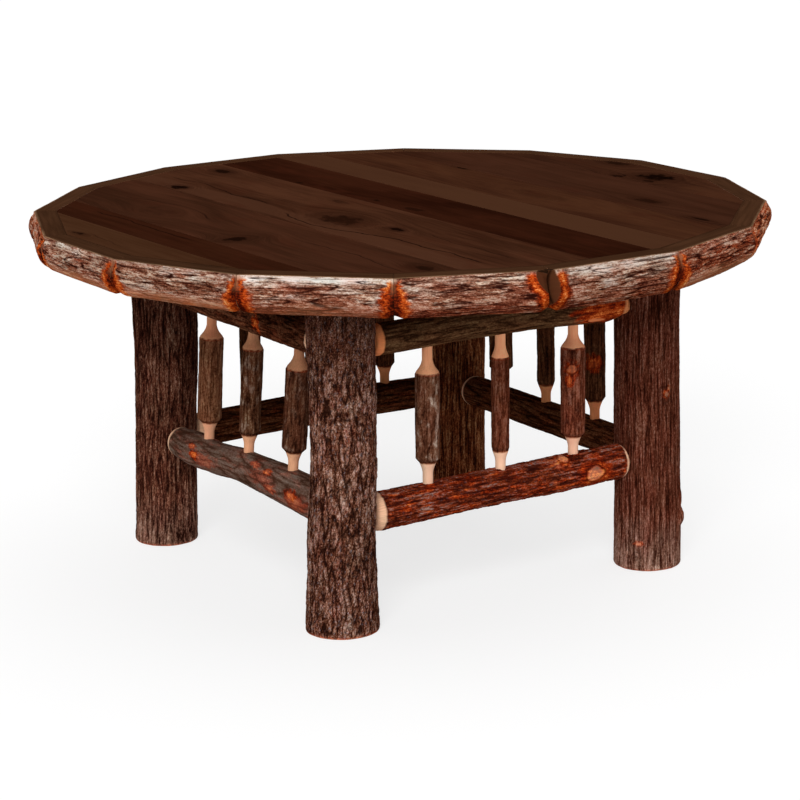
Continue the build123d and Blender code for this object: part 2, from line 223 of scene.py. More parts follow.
class Shader:
    """A material under construction: each method adds a node and returns its output."""

    def __init__(self, name):
        self.material = bpy.data.materials.new(name)
        self.material.use_nodes = True
        self.tree = self.material.node_tree
        self.surface = self.tree.nodes["Principled BSDF"]

    def add(self, kind, inputs=(), output=0, **settings):
        return Wire(self.tree, add_node(self.tree, kind, inputs, **settings).outputs[output])

    def mask(self, name):
        return self.add("ShaderNodeAttribute", output="Fac", attribute_name=name)

    def grain(self):
        return self.add("ShaderNodeAttribute", output="Vector", attribute_name="grain")

    def place(self):
        return self.add("ShaderNodeTexCoord", output="Object")

    def scaled(self, vector, scale, turn=0.0, shift=(0, 0, 0)):
        inputs = {"Vector": vector, "Scale": scale, "Rotation": (0, 0, turn), "Location": shift}
        return self.add("ShaderNodeMapping", inputs)

    def noise(self, vector, scale, detail=3.0, rough=0.5, distortion=0.0, shift=(0, 0, 0)):
        inputs = {"Vector": self.scaled(vector, scale, shift=shift), "Scale": 1.0}
        inputs |= {"Detail": detail, "Roughness": rough, "Distortion": distortion}
        return self.add("ShaderNodeTexNoise", inputs, "Fac")

    def step(self, value, low, high, top=1.0, bottom=0.0):
        inputs = {"Value": value, "From Min": low, "From Max": high, "To Min": bottom, "To Max": top}
        return self.add("ShaderNodeMapRange", inputs, "Result", interpolation_type="SMOOTHSTEP")

    def mix(self, share, a, b, blend="MIX"):
        return self.add("ShaderNodeMix", {0: share, 6: a, 7: b}, 2, data_type="RGBA", blend_type=blend)

    def tinted(self, base, red, rest):
        """The base times one value in its red, and another in its green and blue."""
        return self.mix(1.0, base, self.add("ShaderNodeCombineColor", {0: red, 1: rest, 2: rest}), "MULTIPLY")

    def ramp(self, value, places, codes):
        made = add_node(self.tree, "ShaderNodeValToRGB", {0: value})
        while len(made.color_ramp.elements) < len(codes):
            made.color_ramp.elements.new(1.0)
        for element, place, code in zip(made.color_ramp.elements, places, codes):
            element.position = place
            element.color = colour(code)
        return Wire(self.tree, made.outputs[0])

    def finish(self, base, roughness, bump, strength, distance, specular=0.0):
        normal = self.add("ShaderNodeBump", {"Height": bump, "Strength": strength, "Distance": distance})
        looks = {"Base Color": base, "Roughness": roughness, "Specular IOR Level": specular, "Normal": normal}
        for socket, value in looks.items():
            feed(self.tree, self.surface.inputs[socket], value)
        return self.material


# Warm inner bark, from dark to bright: as trimmed at the mitres, and the redder one of the poles
EMBERS = ("2b0b06", "76220c", "bb4412", "ea7a34", "ffb877")
RED_EMBERS = ("2a0a06", "6c1c0c", "aa3811", "dc662c", "ff9c50")
SILVER = ("8e6e5c", "cdb5a2", "f2e8df")
CUT_WOOD = "ffcba6"


def bark_material(
    name, look, wood=CUT_WOOD, rough=0.62, lines=0.4, fine=1.0, grit=0.5, length=1.0, motley=0.0, embers=EMBERS
):
    """Bark from dark furrow to pale fleck, with its warm patches; the masks say where it was cut away."""
    s = Shader(name)
    grain = s.grain()
    streak = s.noise(grain, (420, 420, 42 / length), 5, 0.66)
    fibre = s.noise(grain, (800, 800, 190 / length), 4, 0.7)
    speck = s.noise(grain, (620, 620, 420), 3, 0.7)
    seam = s.noise(grain, (300, 300, 20), 3, 0.55)
    value = s.mask("flake") + (streak - 0.5) * (0.9 * fine) + (fibre - 0.5) * (1.2 * fine)
    value = value + (speck - 0.5) * (1.6 * grit * fine)
    skin = s.ramp(value, (0.12, 0.4, 0.66, 0.98), look)
    if motley:
        red = s.noise(grain, (330, 330, 150), 3, 0.7, shift=(3, 0, 0))
        slate = s.noise(grain, (300, 300, 170), 3, 0.7, shift=(0, 5, 0))
        skin = s.mix(s.step(red, 0.52, 0.68, motley), skin, "8a3a24", "OVERLAY")
        skin = s.mix(s.step(slate, 0.55, 0.7, motley), skin, s.ramp(value, (0.12, 0.9), ("241a1c", "8f8e96")))
    silver = s.ramp(value, (0.12, 0.4, 0.7, 1.0), (look[0], *SILVER))
    skin = s.mix(s.mask("patch"), skin, silver)
    hot = s.ramp(value * 0.65 + speck * 0.4, (0.2, 0.42, 0.64, 0.86, 1.0), embers)
    skin = s.mix(s.mask("amber"), skin, hot)
    furrow = s.step(abs(seam - 0.5), 0.03, 0.0, lines).most(s.mask("crack"))
    skin = s.mix(furrow, skin, look[0])
    pale = s.noise(grain, (700, 700, 60), 4, 0.65)
    bare = s.mix(s.step(pale, 0.35, 0.72), wood, s.mix(0.3, wood, "8a5530"))
    bare = s.mix(s.mask("patch"), bare, "ffdcc0")
    tone = s.mask("tone")
    blush = (s.noise(grain, (45, 45, 22), 2) - 0.5) * 0.5
    base = s.tinted(s.mix(s.mask("wood"), skin, bare), tone, tone * (1.0 - blush))
    roughness = s.step(value, 0.3, 0.9, rough + 0.12, rough - 0.08)
    return s.finish(base, roughness, streak * 0.6 + fibre - furrow, 0.6, 0.0008)


def plank_material(name, light, dark, share, knots=(), cracks=(), strip=None, blush=0.3, seed=0.0):
    """Stained plank with its grain bent round its knots. Knots and cracks are in millimetres."""
    s = Shader(name)
    field = s.scaled(s.place(), (1, 1, 0), -TOP_TWIST)
    parts = add_node(s.tree, "ShaderNodeSeparateXYZ", {0: field})
    across, along = (Wire(s.tree, parts.outputs[i]) for i in (0, 1))
    ragged = (s.noise(field, (70, 45, 1), 4, 0.7, shift=(seed, 0, 0)) - 0.5) * 3.2
    bend = across
    cores = []
    for x, y, width, length, depth in knots:
        dx = (across - x / 1000) * (1000 / width)
        dy = (along - y / 1000) * (1000 / length)
        near = dx * dx + dy * dy
        fall = 2.718 ** (near * -0.22)
        bend = bend + dx * fall * (-1.3 * width / 1000)
        cores.append((near + ragged, fall, depth))
    bent = s.add("ShaderNodeCombineXYZ", {0: bend, 1: along, 2: seed})
    broad = s.noise(bent, (13, 2.6, 1), 3, 0.6, 0.5)
    streak = s.noise(bent, (130, 4.5, 1), 5, 0.65)
    fine = s.noise(bent, (560, 18, 1), 3, 0.7)
    amount = broad * 0.9 + streak * 0.5 + fine * 0.4
    base = s.mix(s.step(amount, 0.66 + share * 0.5, 1.16 + share * 0.5), dark, light)
    if strip:
        start, end, hue = strip
        edge = across + (broad - 0.5) * 0.05
        inside = s.step(edge, start / 1000 - 0.004, start / 1000 + 0.004)
        inside = inside * s.step(edge, end / 1000 + 0.004, end / 1000 - 0.004)
        base = s.mix(inside * 0.7, base, hue)
    patchy = s.noise(field, (22, 9, 1), 3, 0.6, shift=(seed, 1, 0))
    base = s.mix(s.step(patchy, 0.5, 0.72, blush), base, "3f1c10")
    base = s.mix(s.step(fine, 0.6, 0.8, 0.3), base, dark)
    for near, fall, depth in cores:
        rings = s.step((near * 5.0).sine(), 0.2, 1.0)
        base = s.mix(rings * fall * (0.45 * depth), base, "220e06")
        base = s.mix(s.step(near, 2.4, 0.3) * (0.55 * depth), base, "2a140b")
        base = s.mix(s.step(near, 0.9, 0.1) * depth, base, "110603")
    for x, start, end, width, depth in cracks:
        wobble = (s.noise(bent, (0, 16, 1)) - 0.5) * 0.02
        line = s.step(abs(bend + wobble - x / 1000), width / 1000, width / 3000)
        reach = s.step(along, start / 1000, start / 1000 + 0.03) * s.step(along, end / 1000, end / 1000 - 0.03)
        base = s.mix(line * reach * depth, base, "140805")
    return s.finish(base, s.step(streak, 0.3, 0.7, 0.62, 0.5), fine, 0.12, 0.0004)


def band_material():
    """The flat sawn tops of the edge logs: stained, with the grain running along each log."""
    s = Shader("edge_top_stain")
    grain = s.grain()
    streak = s.noise(grain, (160, 160, 9), 4, 0.6)
    fine = s.noise(grain, (900, 900, 40), 3, 0.65)
    base = s.mix(s.step(streak, 0.3, 0.7), "3f2718", "4d3120")
    base = s.mix(s.step(fine, 0.58, 0.8, 0.4), base, "2c1509")
    # The pale rim along the outer arris: stain worn through to lighter wood, made paler still by painted
    # highlight on some logs.
    base = s.mix(s.mask("rim"), base, "b48c6a")
    base = s.mix(s.mask("seam"), base, "221006")
    tone = s.mask("tone")
    return s.finish(s.tinted(base, tone, tone), 0.55, fine, 0.12, 0.0004)


def inner_material():
    """Sawn hickory where nobody looks: the mitres, the rabbets and the undersides."""
    s = Shader("sawn_hickory")
    streak = s.noise(s.grain(), (260, 260, 18), 4, 0.6)
    base = s.mix(s.step(streak, 0.3, 0.7), "8a5a3a", "6b3f26")
    return s.finish(base, 0.7, streak, 0.2, 0.0006, 0.3)


def batten_material():
    s = Shader("planed_batten")
    place = s.place()
    streak = s.noise(place, (6, 160, 160), 5, 0.6, 0.3)
    fine = s.noise(place, (30, 900, 900), 3, 0.6)
    base = s.mix(s.step(streak, 0.3, 0.7), "9a6b45", "7a4c2c")
    base = s.mix(s.step(fine, 0.6, 0.8, 0.4), base, "5e3820")
    return s.finish(base, 0.65, fine, 0.15, 0.0004, 0.3)


def steel_material():
    s = Shader("zinc_plated_steel")
    cloud = s.noise(s.place(), (300, 300, 300))
    base = s.mix(s.step(cloud, 0.3, 0.7), "a9a9a4", "8e8f8b")
    s.surface.inputs["Metallic"].default_value = 1.0
    return s.finish(base, s.step(cloud, 0.3, 0.7, 0.42, 0.3), cloud, 0.1, 0.0002, 0.5)


# ---- Bark ----------------
def furrows(seed, x, y, s, width, length, wander=0.5):
    """How far each point of a pole is from the nearest long furrow, at a coarse and at a fine scale."""
    n = Noise(seed)
    drift = wander * n(x / 26, y / 26, s / 80)
    first = n(x / width + drift, y / width - drift, s / length)
    second = n(x * 2.3 / width + 4 + drift, y * 2.3 / width, s * 2.6 / length)
    return np.abs(first), np.abs(second)


def flakes(seed, across, along, count):
    """Ragged flakes of bark: how near a point is to its flake's edge, and two numbers of that flake."""
    table = np.random.default_rng(seed).random((4, count, 256))
    i0, j0 = np.floor(across).astype(int), np.floor(along).astype(int)
    best = np.full(across.shape, 99.0)
    second = best.copy()
    tone = np.zeros(across.shape)
    lift = tone.copy()
    for di in (-1, 0, 1):
        for dj in (-1, 0, 1):
            i, j = (i0 + di) % count, (j0 + dj) % 256
            gap = (across - i0 - di - table[0, i, j]) ** 2 + (along - j0 - dj - table[1, i, j]) ** 2
            closer = gap < best
            second = np.where(closer, best, np.minimum(second, gap))
            best = np.where(closer, gap, best)
            tone = np.where(closer, table[2, i, j], tone)
            lift = np.where(closer, table[3, i, j], lift)
    return np.sqrt(second) - np.sqrt(best), tone, lift


def pole_flakes(seed, x, y, s, turn, girth, width, length, ragged=0.4):
    n = Noise(seed)
    count = max(4, int(round(girth / width)))
    across = turn / (2 * math.pi) * count + ragged * n(x / 9, y / 9, s / 20)
    along = s / length + ragged * n(x / 5 + 5, y / 5, s / 22)
    return flakes(seed, across, along, count)


def pole_bark(seed, x, y, s, turn, girth, ridge, plate, depth, flaky):
    """Height in millimetres, dark furrows and tone of the bark of a pole. Ridge and plate: width, length."""
    first, second = furrows(seed, x, y, s, *ridge)
    width, length = plate
    wide, wide_tone, wide_lift = pole_flakes(seed + 1, x, y, s, turn, girth, 2.3 * width, 2.4 * length, 0.5)
    edge, tone, lift = pole_flakes(seed + 3, x, y, s, turn, girth, width, length)
    n = Noise(seed + 2)
    grit = n(x / 1.6, y / 1.6, s / 3)
    height = -depth * (1 - smooth(0.0, 0.28, first)) - 0.45 * depth * (1 - smooth(0.0, 0.25, second))
    plates = 1.3 * (wide_lift - 0.5) - 0.8 * (1 - smooth(0.0, 0.13, wide)) + 0.7 * (lift - 0.5)
    height = height + flaky * (plates - 0.4 * (1 - smooth(0.0, 0.2, edge))) + 0.22 * depth * grit
    crack = np.maximum(1 - smooth(0.01, 0.12, first), 0.55 * (1 - smooth(0.01, 0.14, second)))
    edges = np.maximum(1 - smooth(0.02, 0.11, wide), 0.55 * (1 - smooth(0.03, 0.2, edge)))
    crack = np.maximum(crack, min(1.0, flaky) * edges)
    value = 0.5 + flaky * (0.2 * (wide_tone - 0.5) + 0.34 * (tone - 0.5))
    value = value + 0.3 * (smooth(0.0, 0.4, first) - 0.6)
    value = value + 0.2 * grit + 0.07 * n(x / 18, y / 18, s / 45)
    return height, crack, value


def hump(value, middle, width):
    return np.exp(-(((value - middle) / width) ** 2))


def pole_field(s, radius, around):
    """The angle of each column of a pole, and x, y, place and angle at each point, laid out straight."""
    turn = np.arange(around) * 2 * math.pi / around
    px, py = radius[:, None] * np.cos(turn), radius[:, None] * np.sin(turn)
    return turn, px, py, np.broadcast_to(s[:, None], px.shape), np.broadcast_to(turn, px.shape)


def pole_points(centres, radii, e1, e2, turn):
    ring = np.cos(turn)[None, :, None] * e1 + np.sin(turn)[None, :, None] * e2
    return centres[:, None, :] + radii[..., None] * ring


def swell(turn, s, radius, marks):
    """Knots and stubs: their height and masks. A mark is (place, angle, size, height, bare, warm, length).

    Bare is how far a knot is cut to its rings, or 2 for plain cut wood; without bare or warm it is a dark scar.
    """
    height = np.zeros((len(s), len(turn)))
    wood, amber, crack, glow = height.copy(), height.copy(), height.copy(), height.copy()
    for place, angle, size, lift, bare, warm, length in marks:
        gap = (turn - math.radians(angle) + math.pi) % (2 * math.pi) - math.pi
        dx = (gap * radius)[None, :] / size
        dy = (s - place)[:, None] / (size * length)
        n = Noise(int(abs(place) * 7 + abs(angle)))
        near = np.sqrt(dx**2 + dy**2)
        round_it = near + 0.22 * n(dx * 1.1, dy * 1.1, 0.5)
        ragged = near + 0.8 * n(dx * 1.6, dy * 1.6, 2.5)
        height += lift * (1 - smooth(0.35, 1.7, round_it))
        if lift >= 0:
            height += 0.4 * hump(round_it, 1.15, 0.25)
        wood = np.maximum(wood, (0.2 * bare if bare <= 1 else 0.8) * (1 - smooth(0.75, 0.95, round_it)))
        rings = bare if bare <= 1 else 0
        amber = np.maximum(amber, warm * (1 - smooth(1.0, 1.9, ragged)))
        amber = np.maximum(amber, min(warm, rings) * (1 - smooth(0.85, 1.05, round_it)))
        glow = np.maximum(glow, min(warm, 1) * (1 - smooth(0.3, 1.1, ragged)))
        crack = np.maximum(crack, 0.75 * rings * (1 - smooth(0.0, 0.2, round_it)))
        crack = np.maximum(crack, 0.5 * rings * hump(round_it, 0.55, 0.09))
        crack = np.maximum(crack, 0.85 * rings * hump(round_it, 1.05, 0.13))
        if not rings and not warm:
            scar = np.maximum(hump(round_it, 0.8, 0.16), 1 - smooth(0.1, 0.35, round_it))
            crack = np.maximum(crack, 0.75 * scar)
    return height, wood, amber, crack, glow


# ---- Legs ----------------
# form: height, diameter and wander in X and Y, as in the solids; marks as in swell; shade: height, brightness,
# the painted shade and light that darken a leg towards the top, under the table, and lighten it towards the
# foot;
# pale: how silver the bark is near the foot; foot: how far the rim of the foot is eased
LEGS = {
    "front_left": dict(
        form=((0, 100, -8, -12), (129, 92.5, -1.5, -4.5), (253, 89, 4.5, -3), (460, 94, 4, -2)),
        bark=dict(ridge=(8.0, 45), plate=(4.4, 8), depth=0.8, flaky=1.05),
        look=("1e0c07", "5c3323", "8a5c47", "c49f90"),
        length=0.4,
        motley=0.75,
        marks=((262, -90, 9.0, -1.2, 0, 0, 0.8), (352, -118, 10.0, -1.0, 0, 0, 0.9)),
        shade=((0, 1.12), (60, 1.02), (150, 1.0), (230, 1.14), (280, 1.08), (340, 0.8), (460, 0.64)),
        foot=5.0,
        seed=11,
    ),
    "front_right": dict(
        form=((0, 96, -4.5, 2.5), (161, 94, -5, 3), (322, 92.5, -6, 3.5), (460, 95, -5, 3)),
        bark=dict(ridge=(3.6, 110), plate=(3.2, 30), depth=0.95, flaky=0.3),
        look=("280e07", "58291b", "7b4533", "b07e6c"),
        marks=(
            (266, -86, 2.6, 1.0, 0.9, 1, 1.0),
            (258, -91, 3.8, 1.5, 1, 1, 1.0),
            (246, -98, 6.5, -1.2, 0, 0, 0.9),
            (258, -92, 13.0, 0.8, 0, 0, 1.2),
            (41, -141, 5.0, 0.6, 1, 0.8, 0.45),
            (22, -146, 8.0, -2.0, 0, 0, 0.9),
            (72, -46, 7.5, 4.5, 0, 0.1, 1.2),
            (99, -44, 6.0, 1.5, 0, 0.1, 1.4),
        ),
        shade=((0, 1.4), (50, 1.15), (110, 0.9), (230, 0.88), (460, 0.85)),
        pale=0.3,
        foot=9.0,
        seed=23,
    ),
    "back_left": dict(
        form=((0, 92, -4.5, -2.5), (138, 90.5, 0.5, 0), (299, 94, 5, -3), (460, 96, 5, -2)),
        bark=dict(ridge=(4.2, 60), plate=(4.0, 18), depth=1.1, flaky=0.6),
        look=("1a0905", "4c261c", "754734", "a8806b"),
        marks=((352, -138, 8.0, -1.0, 0, 0, 1.3),),
        shade=((0, 1.35), (60, 1.2), (120, 1.05), (230, 0.98), (330, 0.82), (460, 0.76)),
        pale=0.15,
        foot=7.0,
        seed=31,
    ),
    "back_right": dict(
        form=((0, 89, -1, 1), (184, 88, 0, 0), (322, 89, -0.5, 0.5), (460, 90, -2.5, 0)),
        bark=dict(ridge=(3.8, 80), plate=(4.0, 24), depth=1.0, flaky=0.5),
        look=("220b05", "5c2a15", "8e5130", "b98a60"),
        marks=(),
        shade=((0, 1.05), (460, 0.95)),
        foot=8.0,
        seed=43,
    ),
}
LEG_CORNERS = {
    "front_left": (-LEG_X, -LEG_X),
    "front_right": (LEG_X, -LEG_X),
    "back_left": (-LEG_X, LEG_X),
    "back_right": (LEG_X, LEG_X),
}
# Rows at the rounded foot: height, and share of its easing
FOOT_ROWS = ((0, 1.0), (0, 0.49), (0.6, 0.29), (1.6, 0.13), (3.0, 0.04))
LEG_GIRTH, LEG_RADIUS = 290, 46.0
LEG_ROWS, LEG_AROUND = 230, 288


def build_leg(name, facts):
    foot, rise = np.array(FOOT_ROWS).T, np.linspace(4.5, LEG_TOP, int(LEG_ROWS / COARSE))
    s = np.concatenate([foot[0], rise])
    share = np.concatenate([foot[1], 0 * rise])[:, None]
    diameter, x, y = through(facts["form"], s)
    radius = diameter / 2
    corner = LEG_CORNERS[name]
    centres = np.stack([corner[0] + x, corner[1] + y, s], 1)
    turn, px, py, ss, tt = pole_field(s, radius, int(LEG_AROUND / COARSE))
    n = Noise(facts["seed"] + 500)
    height, crack, value = pole_bark(facts["seed"], px, py, ss, tt, LEG_GIRTH, **facts["bark"])
    lumps = 1.0 * n(px / 60, py / 60, ss / 110) + 0.5 * n(px / 22, py / 22, ss / 45)
    lift, wood, amber, eye, glow = swell(turn, s, LEG_RADIUS, facts["marks"])
    calm = 1 - np.clip(wood + 0.6 * amber, 0, 1)
    fade = smooth(2.5, 9.0, ss)
    rim = -facts["foot"] * share * (1 + 0.25 * n(px / 9, py / 9, 0))
    total = radius[:, None] + (height * calm + lift) * fade + lumps + rim
    total[0] = 0.55 * radius[0]
    grid = pole_points(centres, total, X, Y, turn)
    grid[0, :, 2] = grid[1, :, 2] = 0.0
    cut = 1 - smooth(0.9, 2.8 + 1.2 * n(px / 7, py / 7, 0), ss)
    weathered = 1 - smooth(15, 95, ss + 25 * n(px / 16, py / 16, ss / 30))
    motley, length = facts.get("motley", 0.0), facts.get("length", 1.0)
    # Near the top of a motley leg the bark is plainer, under the painted shade there.
    quiet = 1 - 0.6 * motley * smooth(330, 400, ss)
    masks = {
        "crack": np.clip(np.maximum(crack * calm * fade, eye), 0, 1) * 0.92 * quiet,
        "flake": 0.45 + (value + 0.35 * glow - 0.45) * quiet,
        "patch": facts.get("pale", 0.0) * weathered,
        "amber": np.maximum(amber, 1 - smooth(1.0, 4.0, ss)),
        "wood": np.maximum(wood, 0.25 * cut),
        # Tone: a random brightness, times the painted shade and light by height from the shade stations.
        "tone": (1.0 + 0.1 * n(px / 30, py / 30, ss / 60)) * np.interp(ss, *zip(*facts["shade"])),
    }
    bark = bark_material(
        f"bark_leg_{name}",
        facts["look"],
        lines=0.35 * length,
        grit=0.3 + 0.7 * facts["bark"]["flaky"],
        length=length,
        motley=motley,
    )
    make_piece(f"leg_{name}", grid, masks, (px, py, ss), [bark])


# ---- Rails ----------------
SIDES = {
    "front": ("front_left", "front_right", -Y, X),
    "back": ("back_left", "back_right", Y, X),
    "left": ("front_left", "back_left", -X, Y),
    "right": ("front_right", "back_right", X, Y),
}
RAIL_GIRTH, RAIL_RADIUS = 148, 24.0
RAIL_ROWS, RAIL_AROUND = 250, 112
TENON_LENGTH = 27
TENON_TIP = 6.0
# The domed ends: places, as shares of the dome's length
DOME_ROWS = np.array([0.0, 0.07, 0.18, 0.34, 0.54, 0.76])
RAIL_DEFAULTS = dict(
    bark=dict(ridge=(6.0, 70), plate=(3.4, 16), depth=0.25, flaky=0.3),
    look=("190803", "42200f", "613621", "84583b"),
    wood=CUT_WOOD,
    warm=0.0,
    motley=0.0,
    bare=(1.0, 1.0),
    length=1.0,
    fine=1.0,
    marks=(),
    scoops=(),
)
# form: share of the length, diameter, outwards, upwards; bare: how far the bark is cut back at the two ends;
# marks as in swell, with places along the side; scoops: place, angle, size, depth
RAILS = {
    "lower_front": dict(
        form=((0, 53, 0, -9), (0.45, 50.5, 0, -5), (0.75, 52, 0, -3), (1, 50, 0, -0.5)),
        bark=dict(ridge=(4.4, 55), plate=(3.2, 16), depth=0.6, flaky=1.1),
        look=("34100a", "702a14", "a04624", "a08c84"),
        length=1.7,
        fine=0.92,
        warm=1.0,
        motley=0.55,
        bare=(1.2, 0.6),
        marks=(
            (140, -5, 10.5, 2.0, 1, 1.3, 1.55),
            (147, -12, 12.0, 0.5, 0, 1.5, 1.6),
            (96, 64, 7.5, 2.4, 1, 1.2, 1.15),
            (88, 56, 8.0, 0.5, 0, 0.7, 1.4),
            (108, 68, 6.0, -1.5, 0, 0, 0.9),
        ),
        seed=101,
    ),
    "lower_back": dict(form=((0, 49.5, 0, -3), (0.5, 50.5, 0, 1.5), (1, 47, 0, 0)), warm=0.15, seed=113),
    "lower_left": dict(
        form=(
            (0, 56, 1, 1),
            (0.27, 52.5, 5, 6.5),
            (0.5, 46.5, 6, 7.5),
            (0.7, 46.5, 5, 1.2),
            (0.87, 50, 2, -1),
            (1, 44, 0, -2),
        ),
        bark=dict(ridge=(9.0, 70), plate=(4.0, 13), depth=0.25, flaky=0.35),
        look=("40271b", "62473a", "786054", "968377"),
        warm=0.3,
        bare=(0.12, 0.8),
        fine=0.65,
        marks=(
            (112, 6, 5.0, 0.8, 0, 1.0, 2.0),
            (84, -6, 7.0, 0.4, 0, 0.55, 3.2),
            (124, 32, 3.0, 0.6, 0.3, 0.9, 2.6),
            (-101, 40, 3.6, 1.0, 0.5, 1.0, 2.2),
            (-84, 14, 6.0, 0.5, 0, 0.5, 3.4),
            (-116, -4, 4.0, 0.5, 0, 0.7, 3.0),
            (-172, 10, 5.0, 1.4, 0.3, 1.0, 2.2),
            (-184, -10, 8.0, 0.6, 0, 0.7, 2.6),
            (-62, 48, 3.4, 0.4, 0, 0.7, 3.0),
        ),
        seed=127,
    ),
    "lower_right": dict(form=((0, 47.5, 0, 1), (0.5, 47, 0, 2), (1, 46, 0, 2.5)), warm=0.1, seed=131),
    "upper_front": dict(
        form=((0, 44, 0, -0.5), (0.52, 44, 0, 3), (1, 46.5, 0, -2)),
        look=("2a150a", "543520", "6c4930", "8c6a48"),
        # The cut wood of this rail is darker and more orange than plain cut wood: painted shade with warm
        # bounce light on its ends.
        wood="f2945e",
        bare=(1.25, 0.8),
        marks=(
            (158, -12, 12.0, -1.2, 0, 1.6, 2.4),
            (186, -8, 12.0, -1.0, 0, 1.5, 1.4),
            (150, -44, 4.5, -1.0, 2, 1, 3.6),
            (196, -10, 6.0, -0.6, 0, 1, 0.8),
            (190, -60, 12.0, 0.0, 0, 0.8, 1.8),
        ),
        scoops=((205, -62, 20.0, 7.0),),
        seed=137,
    ),
    "upper_back": dict(form=((0, 44, 0, 0), (0.5, 43.5, 0, 1), (1, 43, 0, 0)), seed=139),
    "upper_left": dict(
        form=((0, 46.5, -3, -2), (0.5, 47, -5, -3), (1, 46, -4, -2)),
        bark=dict(ridge=(5.0, 50), plate=(3.6, 16), depth=0.5, flaky=0.6),
        look=("1c0a05", "4a2516", "6b3d29", "8e6146"),
        warm=0.12,
        marks=((-66, 0, 7.0, -0.5, 0, 1.2, 1.0), (-70, -22, 5.0, -0.5, 0, 1.0, 0.8)),
        seed=149,
    ),
    "upper_right": dict(form=((0, 43, 0, 0), (0.5, 44, 0, 1), (1, 43.5, 0, 0)), seed=151),
}


def leg_face(leg, way, height):
    diameter, x, y = through(LEGS[leg]["form"], np.array([height]))
    return diameter[0] / 2 + x[0] * way[0] + y[0] * way[1]


def rail_ends(level, side):
    """Where the rail's two domed ends meet the legs, as places along the side."""
    start, end, _, along = SIDES[side]
    form = RAILS[f"{level}_{side}"]["form"]
    low = -LEG_X + leg_face(start, along, RAIL_LEVELS[level] + form[0][3]) + SHOULDER_GAP
    high = LEG_X - leg_face(end, -along, RAIL_LEVELS[level] + form[-1][3]) - SHOULDER_GAP
    return low, high


def rail_point(level, side, place):
    """Centre and diameter of a rail at places along its side."""
    _, _, outward, along = SIDES[side]
    low, high = rail_ends(level, side)
    share = np.clip((place - low - DOME) / (high - low - 2 * DOME), 0, 1)
    diameter, out, up = through(RAILS[f"{level}_{side}"]["form"], share)
    centre = place[:, None] * along + (LEG_X + out)[:, None] * outward + (RAIL_LEVELS[level] + up)[:, None] * Z
    return centre, diameter


def build_rail(level, side):
    facts = RAIL_DEFAULTS | RAILS[f"{level}_{side}"]
    _, _, outward, along = SIDES[side]
    low, high = rail_ends(level, side)
    body = np.linspace(low + DOME, high - DOME, int(RAIL_ROWS / COARSE))
    near, far = low - TENON_LENGTH, high + TENON_LENGTH
    domes = low + DOME * DOME_ROWS, high - DOME * DOME_ROWS[::-1]
    s = np.concatenate([[near, near, low], domes[0], body, domes[1], [high, far, far]])
    centre, diameter = rail_point(level, side, s)
    radius = diameter / 2
    turn, px, py, ss, tt = pole_field(s, radius, int(RAIL_AROUND / COARSE))
    dome = np.sqrt(1 - (1 - DOME_ROWS) ** 2.2)
    total = np.repeat(radius[:, None], len(turn), 1)
    total[3:9] = (SHOULDER + (radius[9] - SHOULDER) * dome)[:, None]
    total[-9:-3] = (SHOULDER + (radius[-10] - SHOULDER) * dome)[::-1, None]
    n = Noise(facts["seed"] + 500)
    height, crack, value = pole_bark(facts["seed"], px, py, ss, tt, RAIL_GIRTH, **facts["bark"])
    lift, wood, amber, eye, glow = swell(turn, s, RAIL_RADIUS, facts["marks"])
    lumps = 0.6 * n(px / 40, py / 40, ss / 80) + 0.25 * n(px / 14, py / 14, ss / 26)
    inside = np.minimum((ss - low) / facts["bare"][0], (high - ss) / facts["bare"][1])
    on_bark = smooth(DOME - 1.5, DOME + 1.0, inside + 0.8 * n(px / 6, py / 6, 0))
    calm = 1 - np.clip(wood + 0.5 * amber, 0, 1)
    total = total + (height * calm + lumps + lift) * on_bark
    for place, angle, size, depth in facts["scoops"]:
        away = (tt - math.radians(angle) + math.pi) % (2 * math.pi) - math.pi
        along_it = smooth(-size * 1.8, 0.0, -np.abs(ss - place))
        total -= depth * hump(away * radius[:, None], 0.0, size) * along_it
    total[[1, 2, -3, -2]] = TENON
    total[[0, -1]] = TENON_TIP
    grid = pole_points(centre, total, outward, Z, turn)
    warm = n(px / 6 + 3, py / 6, ss / 26) + 0.35 * n(px / 2.5, py / 2.5, ss / 9)
    warm = smooth(0.0, 0.5, warm) * facts["warm"]
    ring = hump(inside - DOME, 1.0, 1.2)
    cracks = np.maximum(crack * calm * on_bark * 0.85, np.maximum(eye, 0.8 * ring * on_bark))
    masks = {
        "crack": np.clip(cracks, 0, 1),
        "flake": value + 0.4 * glow + 0.15 * warm,
        "patch": 0.0,
        "amber": np.clip(np.maximum(amber, warm) * on_bark, 0, 1),
        "wood": np.maximum(wood, 1 - on_bark),
        "tone": 1.0 + 0.12 * n(px / 30, py / 30, ss / 60),
    }
    if np.dot(np.cross(outward, Z), along) < 0:
        grid, px, py = grid[:, ::-1], px[:, ::-1], py[:, ::-1]
        masks = {key: np.broadcast_to(mask, px.shape)[:, ::-1] for key, mask in masks.items()}
    name = f"{level}_rail_{side}"
    shared = {key: facts[key] for key in ("look", "wood", "fine", "length", "motley")}
    bark = bark_material(f"bark_{name}", **shared, lines=0.2, grit=0.7, embers=RED_EMBERS)
    make_piece(name, grid, masks, (px, py, ss), [bark])
